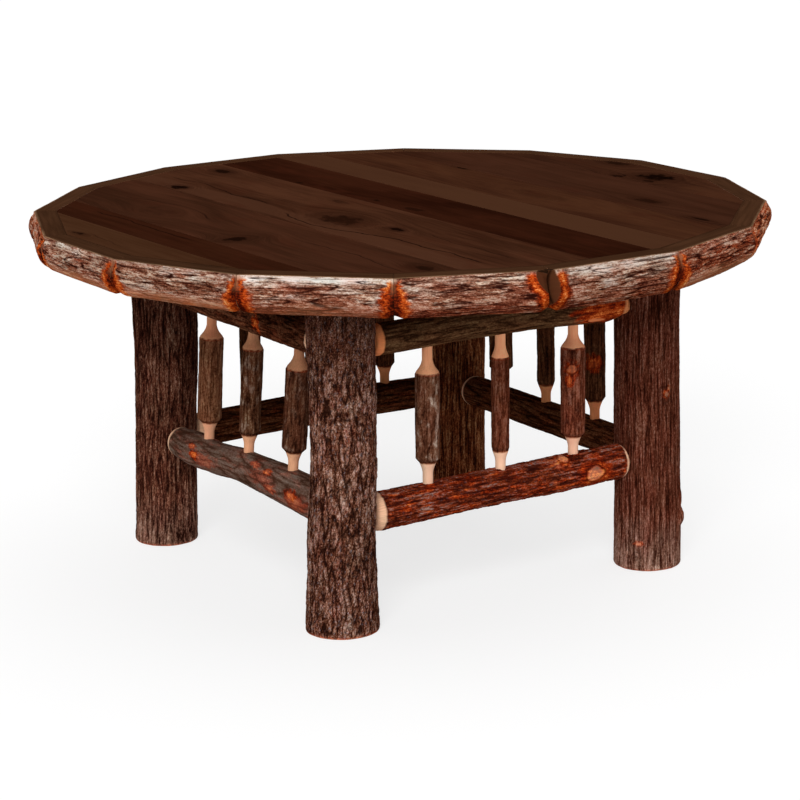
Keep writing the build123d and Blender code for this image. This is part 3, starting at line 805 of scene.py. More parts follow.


# ---- Spindles ----------------
# places at the lower and the upper rail, body diameter, bare lengths below and above, look, silver
# The darker look just below is painted shade, for the spindles at the back and on the right.
PAINTED_SHADE_LOOK = ("1e0b05", "4a2818", "653a24", "86593e")
SPINDLES = {
    "front_1": (-118.5, -116.0, 34.0, 28, 36, ("2b130a", "5c3625", "784c38", "a08470"), 0.6),
    "front_2": (-0.5, 1.5, 25.0, 24, 32, ("30130a", "602f1d", "7c4531", "93644e"), 0.05),
    "front_3": (121.0, 122.0, 34.5, 24, 30, ("33130b", "6b3422", "8c4f39", "ac745f"), 0.12),
    "back_1": (-109.0, -109.5, 32.0, 25, 30, PAINTED_SHADE_LOOK, 0.0),
    "back_2": (2.0, 1.0, 29.5, 25, 31, PAINTED_SHADE_LOOK, 0.0),
    "back_3": (124.0, 124.5, 32.0, 25, 29, PAINTED_SHADE_LOOK, 0.0),
    "left_1": (-131.5, -152.0, 34.0, 25, 26, ("1f0b05", "4a281a", "633a28", "8a6852"), 0.12),
    "left_2": (-10.5, -20.5, 30.5, 24.5, 22, ("1f0b05", "4c2b1b", "68412d", "937860"), 0.3),
    "left_3": (111.5, 101.5, 35.0, 24, 29, ("33180c", "6c402a", "8a5a40", "a8825f"), 0.05),
    "right_1": (-117.5, -117.0, 31.5, 26, 29, PAINTED_SHADE_LOOK, 0.0),
    "right_2": (8.5, 9.0, 27.0, 25, 31, PAINTED_SHADE_LOOK, 0.0),
    "right_3": (130.0, 129.0, 36.0, 24, 30, PAINTED_SHADE_LOOK, 0.0),
}
# marks as in swell, with heights above the floor
SPINDLE_MARKS = {
    "front_3": ((307, -39, 7.2, 1.6, 1, 1.2, 1.0), (290, -50, 5.0, 0.8, 0.2, 1.2, 1.3)),
    "left_1": ((315, -91, 6.0, 0.7, 0, 0.0, 1.2), (268, -66, 4.0, 0.5, 0.1, 0, 0.7)),
    "right_1": ((270, -128, 9.0, 1.0, 0.3, 1, 1.0),),
}
SPINDLE_GIRTH, SPINDLE_AROUND = 102, 72
SPINDLE_TENON = 13.0
SPINDLE_BARK = dict(ridge=(5.0, 60), plate=(3.0, 15), depth=0.2, flaky=0.45)
NECK = 7.2
# The whittled ends: distance from the bark's edge, and how far the neck has grown to what it meets there
LOWER_CUT = ((14.0, 0.0), (10.5, 0.12), (7.0, 0.36), (3.5, 0.68), (0.0, 1.0))
UPPER_CUT = ((1.2, 0.86), (3.7, 0.66), (7.5, 0.38), (12.0, 0.15), (17.5, 0.0))
# How bright the lower and the upper bare neck of a spindle are, and how pale the lower one
NECK_TONES = {
    "front_1": (1.0, 1.1, 0.6),
    "front_2": (1.05, 1.4, 0.6),
    "front_3": (1.0, 1.35, 0.6),
    "left_1": (0.85, 0.6, 0.15),
    "left_2": (0.92, 0.72, 0.1),
    "left_3": (0.9, 1.0, 0.2),
}
# The necks of the spindles at the back and on the right, whose colours are painted for the shade they stand in.
SHADED_NECK = (0.9, 0.9, 0.0)


def spindle_rows(body, bottom, top, first, last):
    """Places along a spindle and its radius there, with its bark from bottom to top and its tenons' ends."""
    cut = min(11.5, body - 1.5)
    profile = np.array(
        [
            (first - 0.5, NECK - 0.8),
            (first, NECK),
            *((bottom - away, NECK + (cut - NECK) * grown) for away, grown in LOWER_CUT),
            (bottom + 6.0, body),
            (top - 1.5, body),
            (top, body - 1.2),
            *((top + away, NECK + (body - NECK) * grown) for away, grown in UPPER_CUT),
            (last, NECK),
            (last + 0.5, NECK - 0.8),
        ]
    )
    s = []
    for (a, _), (b, _) in zip(profile, profile[1:]):
        steps = max(1, int(round((b - a) / (1.7 * COARSE))))
        s.extend(np.linspace(a, b, steps, endpoint=False))
    s = np.array(s + [profile[-1][0]])
    return s, np.interp(s, profile[:, 0], profile[:, 1])


def build_spindle(name, facts, number):
    side = name.split("_")[0]
    low_place, high_place, diameter, lower_neck, upper_neck, look, silver = facts
    outward = SIDES[side][2]
    foot, low_rail = (value[0] for value in rail_point("lower", side, np.array([low_place])))
    head, high_rail = (value[0] for value in rail_point("upper", side, np.array([high_place])))
    length = np.linalg.norm(head - foot)
    way = (head - foot) / length
    e2 = np.cross(way, outward)
    e2 = e2 / np.linalg.norm(e2)
    e1 = np.cross(e2, way)
    body = diameter / 2
    bottom = low_rail / 2 + lower_neck
    top = length - high_rail / 2 - upper_neck
    first, last = low_rail / 2 - SPINDLE_TENON, length - high_rail / 2 + SPINDLE_TENON
    s, radius = spindle_rows(body, bottom, top, first, last)
    turn, px, py, ss, tt = pole_field(s, radius, int(SPINDLE_AROUND / COARSE))
    n = Noise(700 + number)
    height, crack, value = pole_bark(640 + number, px, py, ss, tt, SPINDLE_GIRTH, **SPINDLE_BARK)
    lift, wood, amber, eye, glow = swell(turn, foot[2] + s, body, SPINDLE_MARKS.get(name, ()))
    lumps = 0.55 * n(px / 30, py / 30, ss / 55)
    ragged = 0.9 * n(px / 5, py / 5, number)
    on_bark = smooth(bottom - 0.8, bottom + 0.6, ss + ragged) * (1 - smooth(top - 0.5, top + 0.7, ss + ragged))
    deep_bark = smooth(bottom + 2, bottom + 8, ss) * (1 - smooth(top - 3, top - 0.5, ss))
    total = radius[:, None] + (height + lumps + lift) * deep_bark
    grid = pole_points(foot + s[:, None] * way, total, e1, e2, turn)
    lip = hump(ss - top, -0.9, 1.1) + 0.6 * hump(ss - bottom, 1.2, 1.2)
    silver_spots = smooth(0.2, 0.6, n(px / 9, py / 9, ss / 14) + 0.3 * n(px / 3, py / 3, ss / 5))
    low_tone, high_tone, pale_neck = NECK_TONES.get(name, SHADED_NECK)
    bare_tone = np.where(ss < (bottom + top) / 2, low_tone, high_tone)
    chamfer = smooth(bottom, bottom + 1.5, ss) * (1 - smooth(bottom + 4, bottom + 7, ss + 2 * ragged))
    tone = (1.0 + 0.12 * n(px / 20, py / 20, ss / 50)) * (1 - 0.35 * chamfer)
    masks = {
        "crack": np.clip(np.maximum(crack * 0.55 * deep_bark, eye) * on_bark, 0, 1),
        "flake": value + 0.3 * glow + 0.1 * n(px / 6, py / 6, ss / 9),
        "patch": np.where(ss < bottom, pale_neck, silver_spots * silver * deep_bark),
        "amber": np.clip(np.maximum(amber, 0.6 * lip) * on_bark, 0, 1),
        "wood": np.maximum(wood, 1 - on_bark),
        "tone": tone * (on_bark + (1 - on_bark) * bare_tone),
    }
    # Spindles at the back and on the right get a darker, more orange cut wood: painted shade.
    bark = bark_material(
        f"bark_spindle_{name}",
        look,
        wood="fbb083" if name in NECK_TONES else "f09664",
        rough=0.55,
        lines=0.08,
        fine=0.75,
        grit=0.8,
        embers=RED_EMBERS,
    )
    make_piece(f"spindle_{name}", grid, masks, (px + 90 * number, py, ss), [bark])


# ---- Edge logs ----------------
# height, depth of the corner at the next mitre, silver, warmth, painted highlight along the rim, brightness
EDGE_LOGS = (
    (49, 3.0, 0.8, 0.35, 0.2, 0.86),
    (51, 3.0, 0.5, 0.2, 0.15, 0.76),
    (53, 3.5, 0.65, 0.1, 1.0, 0.96),
    (55, 6.0, 0.45, 0.1, 0.2, 0.95),
    (57, 3.0, 0.5, 0.2, 0.7, 0.84),
    (55, 3.5, 0.18, 0.45, 0.1, 0.92),
    (46, 2.0, 0.12, 0.75, 0.0, 0.95),
    (40, 3.0, 0.3, 0.4, 0.0, 0.95),
    (40, 3.5, 0.4, 0.3, 0.0, 0.95),
    (46, 3.0, 0.4, 0.2, 0.1, 0.95),
    (52, 3.0, 0.5, 0.2, 0.3, 1.0),
    (54, 4.0, 0.4, 0.1, 0.2, 1.0),
    (51, 3.0, 0.5, 0.2, 0.4, 1.0),
    (50, 3.5, 0.4, 0.2, 0.2, 1.0),
    (49, 3.0, 0.5, 0.2, 0.3, 1.0),
    (47, 5.0, 0.3, 0.8, 0.0, 0.9),
)
# What some logs have of their own: a worn lower half, a warm underside, a salmon lower half, less of the
# painted shade that darkens the lower half, a redder bark, and a wider or narrower trimming at the next mitre
SMOOTHER = {0: 0.6, 1: 0.5, 2: 0.3, 5: 0.6, 6: 0.65, 15: 0.5}
WARM_UNDER = {0: 0.95, 1: 0.85, 2: 0.7, 3: 0.55, 4: 0.65, 5: 0.6}
SALMON = {0: 0.3, 1: 0.3, 5: 0.3, 6: 0.3}
PAINTED_UNDER_SHADE = {0: 0.1, 1: 0.1}
EDGE_LOOK = ("2e100a", "703a28", "a1684f", "e0c0aa")
REDDER_LOOKS = {
    5: ("2e0e08", "74301c", "a05a3c", "d8ae96"),
    6: ("34120a", "823820", "b0603c", "d8a284"),
    15: ("34120a", "8a3c22", "b8643e", "d8b49c"),
}
TRIMS = {5: 0.4, 15: 1.4}
BULGE = 9.5
UNDERCUT = 9.0
MITRE_GAP = 0.1
MITRE_SLOPE = math.tan(SIDE_ANGLE / 2)
FLAKE_COUNT = 64
EDGE_ROWS, ARC_POINTS = 200, 76
# Faces of an edge log, by their material
BARK, SAWN_TOP, SAWN_INSIDE = 0, 1, 2


def log_axes(index):
    """Outwards and along, for an edge log."""
    angle = math.pi + TOP_TWIST + index * SIDE_ANGLE
    return np.array([math.cos(angle), math.sin(angle), 0]), np.array([-math.sin(angle), math.cos(angle), 0])


def edge_profile(height):
    """Cross-section of an edge log from its inner top edge outwards and round, and the centre of its arc."""
    under = TABLE_HEIGHT - height
    a = np.array([APOTHEM, TABLE_HEIGHT])
    b = np.array([APOTHEM + BULGE, TABLE_HEIGHT - 0.46 * height])
    c = np.array([APOTHEM - UNDERCUT, under])
    centre = np.linalg.solve(2 * np.array([b - a, c - a]), [b @ b - a @ a, c @ c - a @ a])
    reach = np.linalg.norm(a - centre)
    first = math.atan2(*(a - centre)[::-1])
    last = math.atan2(*(c - centre)[::-1])
    angles = np.linspace(first, last, int(ARC_POINTS / COARSE))
    arc = centre + reach * np.stack([np.cos(angles), np.sin(angles)], 1)
    top = np.linspace([BAND_APOTHEM, TABLE_HEIGHT], a, 9)[:-1]
    top = np.concatenate([top, [a - (1.6, 0), a - (0.7, 0)]])
    below = np.linspace(c, [LEDGE_APOTHEM, under], 8)[1:]
    ledge = [(LEDGE_APOTHEM, under + 10), (LEDGE_APOTHEM, BOARD_BOTTOM), (BAND_APOTHEM, BOARD_BOTTOM)]
    rabbet = np.array(ledge + [(BAND_APOTHEM, BOARD_BOTTOM + 12)])
    return np.concatenate([top, arc, below, rabbet]), centre, len(top), len(arc)


# The open corner between logs 4 and 5: which end, set back along the log, drop below the top, shade of the cut,
# how far the cut wood is darkened; a painted shadow line also runs down the right log's facet
BEVELS = {3: ((1, 20.0, 24.0, 0.3), (1, 3.0, 90.0, 0.7)), 4: ((-1, 6.0, 170.0, 0.4),)}
BEVEL_DEPTH = 14.0


def bevel(r, u, z, slope, back, drop):
    """How far each point stands outside the plane that cuts one end's outer corner, and that plane's normal."""
    normal = np.cross([BEVEL_DEPTH, -back, 0.0], [BEVEL_DEPTH + 2.0, 0.0, -drop])
    normal = normal / np.linalg.norm(normal)
    end = abs(slope) * APOTHEM
    outside = (r - APOTHEM + BEVEL_DEPTH) * normal[0] + (np.sign(slope) * u - end) * normal[1]
    return outside + (z - TABLE_HEIGHT) * normal[2], normal


def open_corner(index, r, u, z, gap, share):
    """The whittled facets of the open corner: the way along the log to them, shade, mask and planes."""
    clear = gap
    shade = np.ones(gap.shape)
    facet = np.zeros(gap.shape)
    planes = []
    for end, back, drop, dark in BEVELS.get(index, ()):
        depth, normal = bevel(r, u, z, end * MITRE_SLOPE, back, drop)
        clear = np.where(u * end > 0, np.minimum(clear, -depth / normal[1]), clear)
        planes.append((np.maximum(depth, 0), normal))
        # The right log's facet: a dark line down it is a painted shadow, and the strip next to the mitre is
        # darker at the top.
        if end < 0:
            deepest = 1 - smooth(1.6, 2.6, gap)
            dark = 0.5 * (1 - 0.8 * hump(gap - share, 3.4, 0.8))
            dark = dark * (1 - deepest) + deepest * (0.25 + 0.55 * smooth(0.3, 0.5, share))
        shade = np.where(depth > facet, dark, shade)
        facet = np.maximum(facet, depth)
    return clear, shade, smooth(0.05, 0.6, facet), planes


def edge_section(index):
    """The log's section at each of its rows, running into its neighbours' at the mitres.

    Gives r and z, the share along the log, each point's material and place on the bark, and the arc's centre.
    """
    height, after, before = (EDGE_LOGS[i % len(EDGE_LOGS)][0] for i in (index, index + 1, index - 1))
    own, centre, tops, arcs = edge_profile(height)
    rest = len(own) - tops - arcs
    kinds = np.array([SAWN_TOP] * tops + [BARK] * (arcs + 3) + [SAWN_INSIDE] * (rest - 3))
    bark = np.concatenate([np.zeros(tops), np.linspace(0, 1, arcs), np.full(rest, 2.0)])
    t = np.linspace(-1, 1, int(EDGE_ROWS / COARSE))
    t = (np.sign(t) * (1 - (1 - np.abs(t)) ** 1.15))[:, None]
    joints = [edge_profile((height + other) / 2)[0] for other in (after, before)]
    away = smooth(0, 1, np.abs(t))[..., None]
    blend = np.where((t > 0)[..., None], *joints) * away + own * (1 - away)
    return blend[..., 0], blend[..., 1], t, kinds, bark, centre


def edge_bark(n, m, seed, r, z, u, share):
    """Relief, dark cracks and tone of the bark. Share goes from the top of the section to its underside."""
    drift = 0.5 * n(r / 26, z / 26, u / 60)
    first = np.abs(m(r / 6.0 + drift, z / 6.0 + drift, u / 95))
    second = np.abs(m(r / 3.2 + 2 * drift, z / 3.2, u / 42 + 7))
    along = u / 34 + 40 + 0.5 * n(r / 6, z / 6 + 9, u / 30)
    _, broad_tone, broad_lift = flakes(seed + 2, share * 8 + drift, along, FLAKE_COUNT)
    across = share * 20 + 0.6 * n(r / 7, z / 7, u / 15)
    along = u / 12 + 40 + 0.6 * n(r / 4, z / 4 + 9, u / 18)
    _, tone, lift = flakes(seed + 3, across, along, FLAKE_COUNT)
    grit = m(r / 1.6, z / 1.6, u / 3.5)
    relief = -0.9 * (1 - smooth(0.0, 0.2, first)) - 0.4 * (1 - smooth(0.0, 0.2, second))
    relief = relief + 0.7 * (broad_lift - 0.5) + 0.45 * (lift - 0.5) + 0.2 * grit
    crack = np.maximum(1 - smooth(0.01, 0.1, first), 0.7 * (1 - smooth(0.005, 0.08, second)))
    value = 0.56 + 0.34 * (broad_tone - 0.5) + 0.32 * (tone - 0.5) + 0.22 * (smooth(0.0, 0.25, first) - 0.7)
    # Lighter towards the top of the section: painted light on the face turned up.
    return relief, crack, value + 0.16 * grit + 0.12 * (0.4 - share)


def build_edge_log(index, stain, inner):
    _, own_notch, silver, warm, painted_shine, level = EDGE_LOGS[index]
    seed = 300 + 7 * index
    out, tangent = log_axes(index)
    r0, z0, t, kinds, bark, centre = edge_section(index)
    full = r0 * MITRE_SLOPE - MITRE_GAP
    u = t * full
    n = Noise(seed)
    m = Noise(seed + 1)
    is_top = np.broadcast_to(kinds == SAWN_TOP, r0.shape)
    on_bark = np.broadcast_to((kinds == BARK) & (bark > 0), r0.shape).astype(float)
    share = np.broadcast_to(np.clip(bark, 0, 1), r0.shape)
    from_top = smooth(0.0, 0.07, share)
    lower = smooth(0.55, 0.8, share)
    relief, crack, value = edge_bark(n, m, seed, r0, z0, u, share)
    lumps = 1.3 * m(r0 / 40, z0 / 40, u / 75) + 0.5 * m(r0 / 15 + 5, z0 / 15, u / 30) - 1.0

    # mitres: the bark is trimmed back to warm inner bark on both sides of a dark corner, with painted shade in
    # the middle of the notch
    gap = full - np.abs(u)
    notch = np.where(u > 0, own_notch, EDGE_LOGS[index - 1][1])
    deep = smooth(4.5, 6.0, notch)
    clear, shade, facet, planes = open_corner(index, r0, u, z0, gap, share)
    facet = facet * (kinds != SAWN_INSIDE)
    width = (8 + 3 * n(7 * np.sign(u), 0, index * 1.7)) + 12 * smooth(0.05, 0.6, share) * (1 - 0.7 * deep)
    width = width + 5 * n(r0 / 9, z0 / 9, 3 * np.sign(u)) + 5 * n(r0 / 3, z0 / 3, u / 9) * (1 - 0.5 * deep)
    trim = np.where(u > 0, TRIMS.get(index, 1.0), TRIMS.get(index - 1, 1.0))
    reach = np.maximum(clear, 0) / np.maximum(width * trim + 3 * deep, 5.0)
    zone = (1 - smooth(0.8, 1.35, reach)) * smooth(0.0, 0.12, share + 0.04 * n(u / 4, 0, 0))
    zone = zone * (0.4 + 0.6 * trim)
    ember = hump(reach, 0.75 - 0.3 * deep, 0.3)
    # The middle of a shallow V at the mitre: darker, as painted shade in the notch, and cut to bare wood near
    # the top.
    painted_shade_core = (1 - smooth(0.15, 0.55, reach + 0.3 * n(r0 / 6, z0 / 6, u / 6))) * (1 - deep)
    mottle = 0.9 * n(r0 / 6, z0 / 6 + 5, u / 5) + 0.5 * n(r0 / 2, z0 / 2 + 5, u / 2.4)
    steep = np.clip(1 - gap / (6.0 + notch * 0.9), 0, 1)
    cut = (1 - deep) * (1 - smooth(0.0, 1.0, gap / 14.0)) ** 1.4 + deep * steep

    # the bark is pushed in or out from the arc's centre, the arris of the sawn top wavers, the bevels come last
    push = relief * (1 - 0.6 * lower) * (1 - 0.8 * zone)
    push = (push + lumps * 0.8 * (1 - 0.5 * smooth(0.6, 0.9, share))) * on_bark * from_top
    push = np.minimum(push, 0.15) - notch * 1.1 * cut * on_bark * smooth(0.0, 0.12, share)
    dr, dz = r0 - centre[0], z0 - centre[1]
    norm = np.hypot(dr, dz)
    near_arris = (is_top | (share < 0.12)) & (kinds != SAWN_INSIDE)
    waver = 0.7 * m(u / 22, 3, 0) * smooth(APOTHEM - 4, APOTHEM, r0) * near_arris
    waver = waver * (1 - smooth(0.0, 0.12, share) * (on_bark > 0)) - 0.3 * (near_arris & (r0 > APOTHEM - 1.0))
    r = r0 + push * np.where(on_bark > 0, dr / norm, 1.0) + waver
    z = z0 + push * np.where(on_bark > 0, dz / norm, 0.0)
    arris = ((kinds == SAWN_TOP) & (r0 > APOTHEM - 1.0)) | ((kinds == BARK) & (bark == 0))
    z = z - 0.5 * arris
    u = t * (r * MITRE_SLOPE - MITRE_GAP)
    for depth, normal in planes:
        r = r - depth * normal[0] / (normal[0] ** 2 + normal[2] ** 2)
        z = z - depth * normal[2] / (normal[0] ** 2 + normal[2] ** 2)
    grid = r[..., None] * out + u[..., None] * tangent + z[..., None] * Z

    seam = 1 - smooth(0.1, 0.7, gap)
    # Silver patches of weathered bark, gathered towards the top of the log, where they also paint the light on
    # its upward face.
    patch = n(r0 / 11, z0 / 11, u / 38) + 0.35 * n(r0 / 2.5, z0 / 2.5, u / 8) + 0.9 * (0.42 - share)
    patch = smooth(0.0, 0.55, patch) * silver * (1 - 0.9 * lower)
    # A painted highlight along the upper rim of the bark, drawn as pale silver bark.
    painted_highlight = painted_shine * hump(share, 0.09, 0.09) * smooth(-0.35, 0.25, m(u / 40, 0, 0) + 0.5)
    salmon = SALMON.get(index, 0.0) * smooth(0.45, 0.8, share)
    worn = smooth(0.55, 0.8, share + 0.12 * n(r0 / 14, z0 / 14 + 3, u / 40)) * (1 - zone)
    worn = SMOOTHER.get(index, 0.0) * worn
    streaks = smooth(0.2, 0.6, n(r0 / 4 + 9, z0 / 4, u / 22) + 0.3 * m(r0 / 2, z0 / 2, u / 7)) * warm
    below = smooth(0.5, 0.9, share)
    under = WARM_UNDER.get(index, 0.5) * below * (0.7 + 0.6 * n(r0 / 7, z0 / 7, u / 20))
    trimmed = 0.3 + 0.42 * ember - 0.15 * painted_shade_core + 0.4 * mottle
    tone = level + 0.1 * m(r0 / 30, z0 / 30, u / 50) + 0.05 * math.sin(index * 2.4)
    # The worn rim of the sawn top, paler on logs with a painted highlight.
    rim = 0.45 + 0.4 * n(u / 30, 0, 0) + 0.3 * painted_shine
    cracks = np.maximum(crack * (1 - 0.8 * zone) * from_top, np.maximum(0.3 * painted_shade_core, seam))
    masks = {
        "crack": np.clip(cracks * on_bark, 0, 1),
        "flake": value * (1 - zone) + zone * trimmed + 0.4 * painted_highlight + salmon,
        "patch": np.clip(np.maximum(patch, painted_highlight), 0, 1) * (1 - zone) * on_bark * (1 - facet),
        "amber": np.clip(np.maximum(np.maximum(zone, streaks), under), 0, 1) * on_bark,
        "wood": np.maximum(np.maximum(facet, worn), 0.6 * painted_shade_core * (1 - smooth(0.12, 0.45, share))) * on_bark,
        # Painted shade: the lower half of the log is darker, as under the table's edge; the facets are darkened
        # by their shade of the cut.
        "tone": (1 - facet + facet * shade) * tone * (1 - PAINTED_UNDER_SHADE.get(index, 0.38) * below),
        "rim": smooth(APOTHEM - 2.6, APOTHEM - 0.8, r0) * is_top * (1 - facet) * rim,
        "seam": seam * 0.8,
    }
    name = f"edge_log_{index + 1:02d}"
    look = REDDER_LOOKS.get(index, EDGE_LOOK)
    wood = "c07852" if index in SMOOTHER else "8c5034"
    skin = bark_material(f"bark_{name}", look, wood=wood, rough=0.45, lines=0.3, grit=0.6)
    grain = (r0 - APOTHEM + 70 * index, z0 - TABLE_HEIGHT, u)
    make_piece(name, grid, masks, grain, [skin, stain, inner], face_material=kinds)


# ---- Small screws under the top ----------------
# Seams between the boards, as shares of the half width
SEAMS = (-1.0, -0.858, -0.7265, -0.3985, -0.0375, 0.1735, 0.3175, 0.5325, 0.8058, 1.0)
BATTEN_ROWS = (-LEG_X, 0.0, LEG_X)
SCREW_SIDES = 24
HEAD = 3.9


def screw_places():
    """One screw up into each board from each batten, clear of the legs, and one from each edge log."""
    middles = [(a + b) / 2 * BAND_APOTHEM for a, b in zip(SEAMS, SEAMS[1:])]
    places = []
    for row in BATTEN_ROWS:
        reach = math.sqrt(LEDGE_APOTHEM**2 - (abs(row) + 30) ** 2) - 30
        for middle in middles:
            x = (middle - row * math.sin(TOP_TWIST)) / math.cos(TOP_TWIST)
            if abs(x) < reach and not (row and abs(abs(x) - LEG_X) < 60):
                places.append((x, row + 14, LEG_TOP))
    for index, log in enumerate(EDGE_LOGS):
        x, y, _ = (BAND_APOTHEM - 5.5) * log_axes(index)[0]
        places.append((x, y, TABLE_HEIGHT - log[0]))
    return places


def build_screws(steel):
    """Countersunk heads with a cross recess, flush with the underside of the battens and the edge logs."""
    turn = np.arange(SCREW_SIDES) * 2 * math.pi / SCREW_SIDES
    cross = 2.4 - 1.5 * np.abs(np.sin(2 * turn))
    head, rim = np.full(SCREW_SIDES, HEAD), np.full(SCREW_SIDES, HEAD + 0.2)
    rings = ((head, 0.9), (rim, -0.25), (cross, -0.3), (cross * 0.8, 1.0))
    verts, faces = [], []
    for x, y, z in screw_places():
        base = len(verts)
        for radius, lift in rings:
            for r, a in zip(radius, turn):
                verts.append(((x + r * math.cos(a)) / 1000, (y + r * math.sin(a)) / 1000, (z + lift) / 1000))
        for ring in range(len(rings) - 1):
            a, b = base + ring * SCREW_SIDES, base + (ring + 1) * SCREW_SIDES
            for i in range(SCREW_SIDES):
                j = (i + 1) % SCREW_SIDES
                faces.append((a + i, b + i, b + j, a + j))
        faces.append([base + i for i in range(SCREW_SIDES)])
        faces.append([base + 3 * SCREW_SIDES + i for i in reversed(range(SCREW_SIDES))])
    mesh = bpy.data.meshes.new("board_screws")
    mesh.from_pydata(verts, [], faces)
    mesh.materials.append(steel)
    mesh.update()
    piece = add_object("board_screws", mesh)
    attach(piece, "root")


# ---- Parts that keep their CAD solids ----------------
# share: how much of a plank stays dark; knots: x, y, width, length, depth; cracks: x, start, end, width, depth;
# strip: start, end and colour of a paler strip
BOARDS = (
    dict(
        light="4b2f1e",
        dark="3c2213",
        share=-0.1,
        blush=0.1,
        knots=((-462, 90, 7, 22, 0.8),),
        cracks=((-458, -60, 90, 1.2, 0.4),),
    ),
    dict(light="3c1e11", dark="2d140a", share=0.1, blush=0.4, cracks=((-364, -60, 240, 1.7, 0.8),)),
    dict(
        light="49291b",
        dark="321b10",
        share=-0.05,
        knots=((-312, -79, 23, 17, 0.8), (-222, -400, 13, 26, 0.6), (-294, 175, 26, 44, 0.12)),
        cracks=((-248, -420, -150, 1.7, 0.6), (-276, 60, 330, 1.6, 0.55)),
    ),
    dict(
        light="502f1f",
        dark="321a0f",
        share=-0.02,
        knots=(
            (-172, 335, 15, 21, 0.95),
            (-125, -44, 30, 52, 0.55),
            (-104, -152, 9, 22, 0.95),
            (-50, 419, 13, 26, 0.8),
            (-50, 80, 9, 22, 0.35),
        ),
        cracks=((-142, -430, 60, 2.1, 0.85), (-138, 120, 430, 1.8, 0.75), (-95, -430, -200, 1.5, 0.5)),
        strip=(-191, -150, "4e2f20"),
    ),
    dict(
        light="391b0f",
        dark="260f07",
        share=0.05,
        blush=0.5,
        knots=((-3, 56, 6, 13, 0.8), (-11, 256, 5, 10, 0.6), (0, -38, 9, 26, 0.5), (-20, -250, 8, 22, 0.3)),
    ),
    dict(light="4b2e1e", dark="44281a", share=-0.2, blush=0.05),
    dict(
        light="4d2d1c",
        dark="361c11",
        share=0.0,
        knots=((252, 212, 6, 22, 0.75), (205, -60, 20, 90, 0.15)),
        cracks=((163, -60, 150, 1.4, 0.3),),
    ),
    dict(
        light="45271a",
        dark="331b10",
        share=0.0,
        knots=((300, -188, 12, 36, 0.5), (268, -352, 5, 24, 0.8)),
        cracks=((264, -420, -300, 1.6, 0.8), (330, 60, 240, 1.2, 0.3)),
    ),
    dict(
        light="4c2c1c",
        dark="331b11",
        share=0.0,
        blush=0.35,
        knots=((431, -37, 26, 42, 1.0), (462, 100, 14, 30, 0.6), (394, 8, 7, 16, 0.8), (400, -58, 8, 16, 0.7)),
        cracks=((420, -110, 40, 1.8, 0.7),),
    ),
)


def dress(node, material):
    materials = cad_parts[node].data.materials
    materials.clear()
    materials.append(material)


def dress_cad(steel):
    batten = batten_material()
    for index, facts in enumerate(BOARDS):
        dress(f"board_{index + 1}", plank_material(f"stained_plank_{index + 1}", seed=3.7 * index, **facts))
    for name in ("batten_front", "batten_middle", "batten_back"):
        dress(name, batten)
    dress("leg_lag_screws", steel)


# ---- Floor, light and camera ----------------
FLOOR_SIDES = 96
FLOOR_REACH = 20
WHITE = (1, 1, 1, 1)


def source(tree, kind, **inputs):
    return Wire(tree, add_node(tree, kind, inputs).outputs[0])


def by_ray(tree, plain, seen, output):
    """One shader for the light that falls on things, and another for what the camera and gloss see."""
    path = add_node(tree, "ShaderNodeLightPath")
    share = Wire(tree, path.outputs["Is Camera Ray"])
    for ray in ("Is Glossy Ray", "Is Transmission Ray"):
        share = share.most(Wire(tree, path.outputs[ray]))
    mix = add_node(tree, "ShaderNodeMixShader", {0: share, 1: plain, 2: seen})
    add_node(tree, output, {"Surface": Wire(tree, mix.outputs[0])})


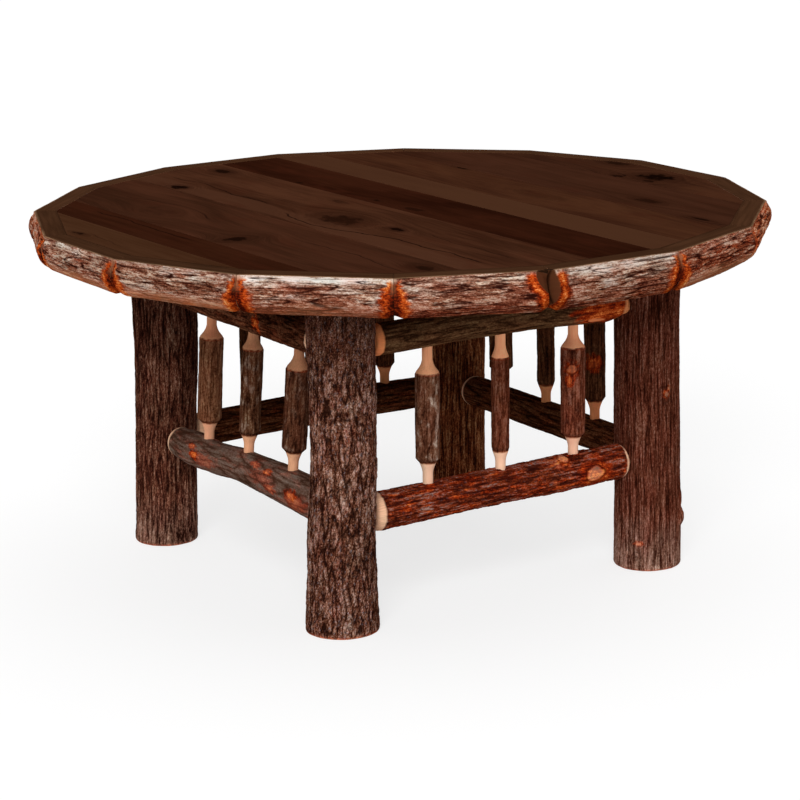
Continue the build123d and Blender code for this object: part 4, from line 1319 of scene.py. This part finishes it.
def build_stage():
    mesh = bpy.data.meshes.new("floor")
    turn = np.arange(FLOOR_SIDES) * 2 * math.pi / FLOOR_SIDES
    corners = [(FLOOR_REACH * math.cos(a), FLOOR_REACH * math.sin(a), 0.0) for a in turn]
    mesh.from_pydata(corners, [], [list(range(FLOOR_SIDES))])
    floor = add_object("floor", mesh)
    material = bpy.data.materials.new("pale_floor")
    material.use_nodes = True
    tree = material.node_tree
    tree.nodes.clear()
    lit = source(tree, "ShaderNodeBsdfDiffuse", Color=(0.8, 0.8, 0.8, 1))
    pale = source(tree, "ShaderNodeBsdfDiffuse", Color=(0.3, 0.3, 0.3, 1))
    glow = source(tree, "ShaderNodeEmission", Strength=0.74)
    both = add_node(tree, "ShaderNodeAddShader", {0: pale, 1: glow})
    by_ray(tree, lit, Wire(tree, both.outputs[0]), "ShaderNodeOutputMaterial")
    mesh.materials.append(material)

    world = bpy.data.worlds.new("studio")
    bpy.context.scene.world = world
    world.use_nodes = True
    tree = world.node_tree
    tree.nodes.clear()
    plain = source(tree, "ShaderNodeBackground", Strength=0.42)
    white = source(tree, "ShaderNodeBackground", Color=WHITE, Strength=1.0)
    by_ray(tree, plain, white, "ShaderNodeOutputWorld")


def add_sun(name, direction, power, spread):
    """A soft light from far off, so that the floor is as bright everywhere."""
    data = bpy.data.lights.new(name, "SUN")
    data.energy = power
    data.angle = math.radians(spread)
    lamp = add_object(name, data)
    lamp.rotation_euler = (-Vector(direction)).to_track_quat("-Z", "Y").to_euler()


def build_camera():
    """The photograph's camera, fitted to the corners of the top, the legs and the ends of the rails."""
    forward = Vector((0.5048, 0.8296, -0.2386)).normalized()
    level = Vector((0.8543, -0.5198, 0.0)).normalized()
    upright = level.cross(forward)
    roll = -0.0178
    right = level * math.cos(roll) + upright * math.sin(roll)
    up = upright * math.cos(roll) - level * math.sin(roll)
    place = (-2.18312, -3.58042, 1.25558)
    data = bpy.data.cameras.new("camera")
    data.sensor_width = 36.0
    data.lens = 134.488
    data.clip_end = 60.0
    camera = add_object("camera", data)
    camera.matrix_world = Matrix([*zip(right, up, -forward, place), (0, 0, 0, 1)])
    bpy.context.scene.camera = camera


# ---- The whole scene ----------------
build_camera()
build_stage()
add_sun("key", (-2.6, -3.4, 2.6), 2.0, 30)
add_sun("overhead", (0.6, 0.4, 3.0), 0.9, 60)
bpy.context.scene.view_settings.view_transform = "Standard"

for leg_name, leg_facts in LEGS.items():
    build_leg(leg_name, leg_facts)
for rail_level in RAIL_LEVELS:
    for rail_side in SIDES:
        build_rail(rail_level, rail_side)
for spindle_number, (spindle_name, spindle_facts) in enumerate(SPINDLES.items()):
    build_spindle(spindle_name, spindle_facts, spindle_number)
edge_stain = band_material()
sawn = inner_material()
for log_index in range(len(EDGE_LOGS)):
    build_edge_log(log_index, edge_stain, sawn)
zinc = steel_material()
build_screws(zinc)
dress_cad(zinc)
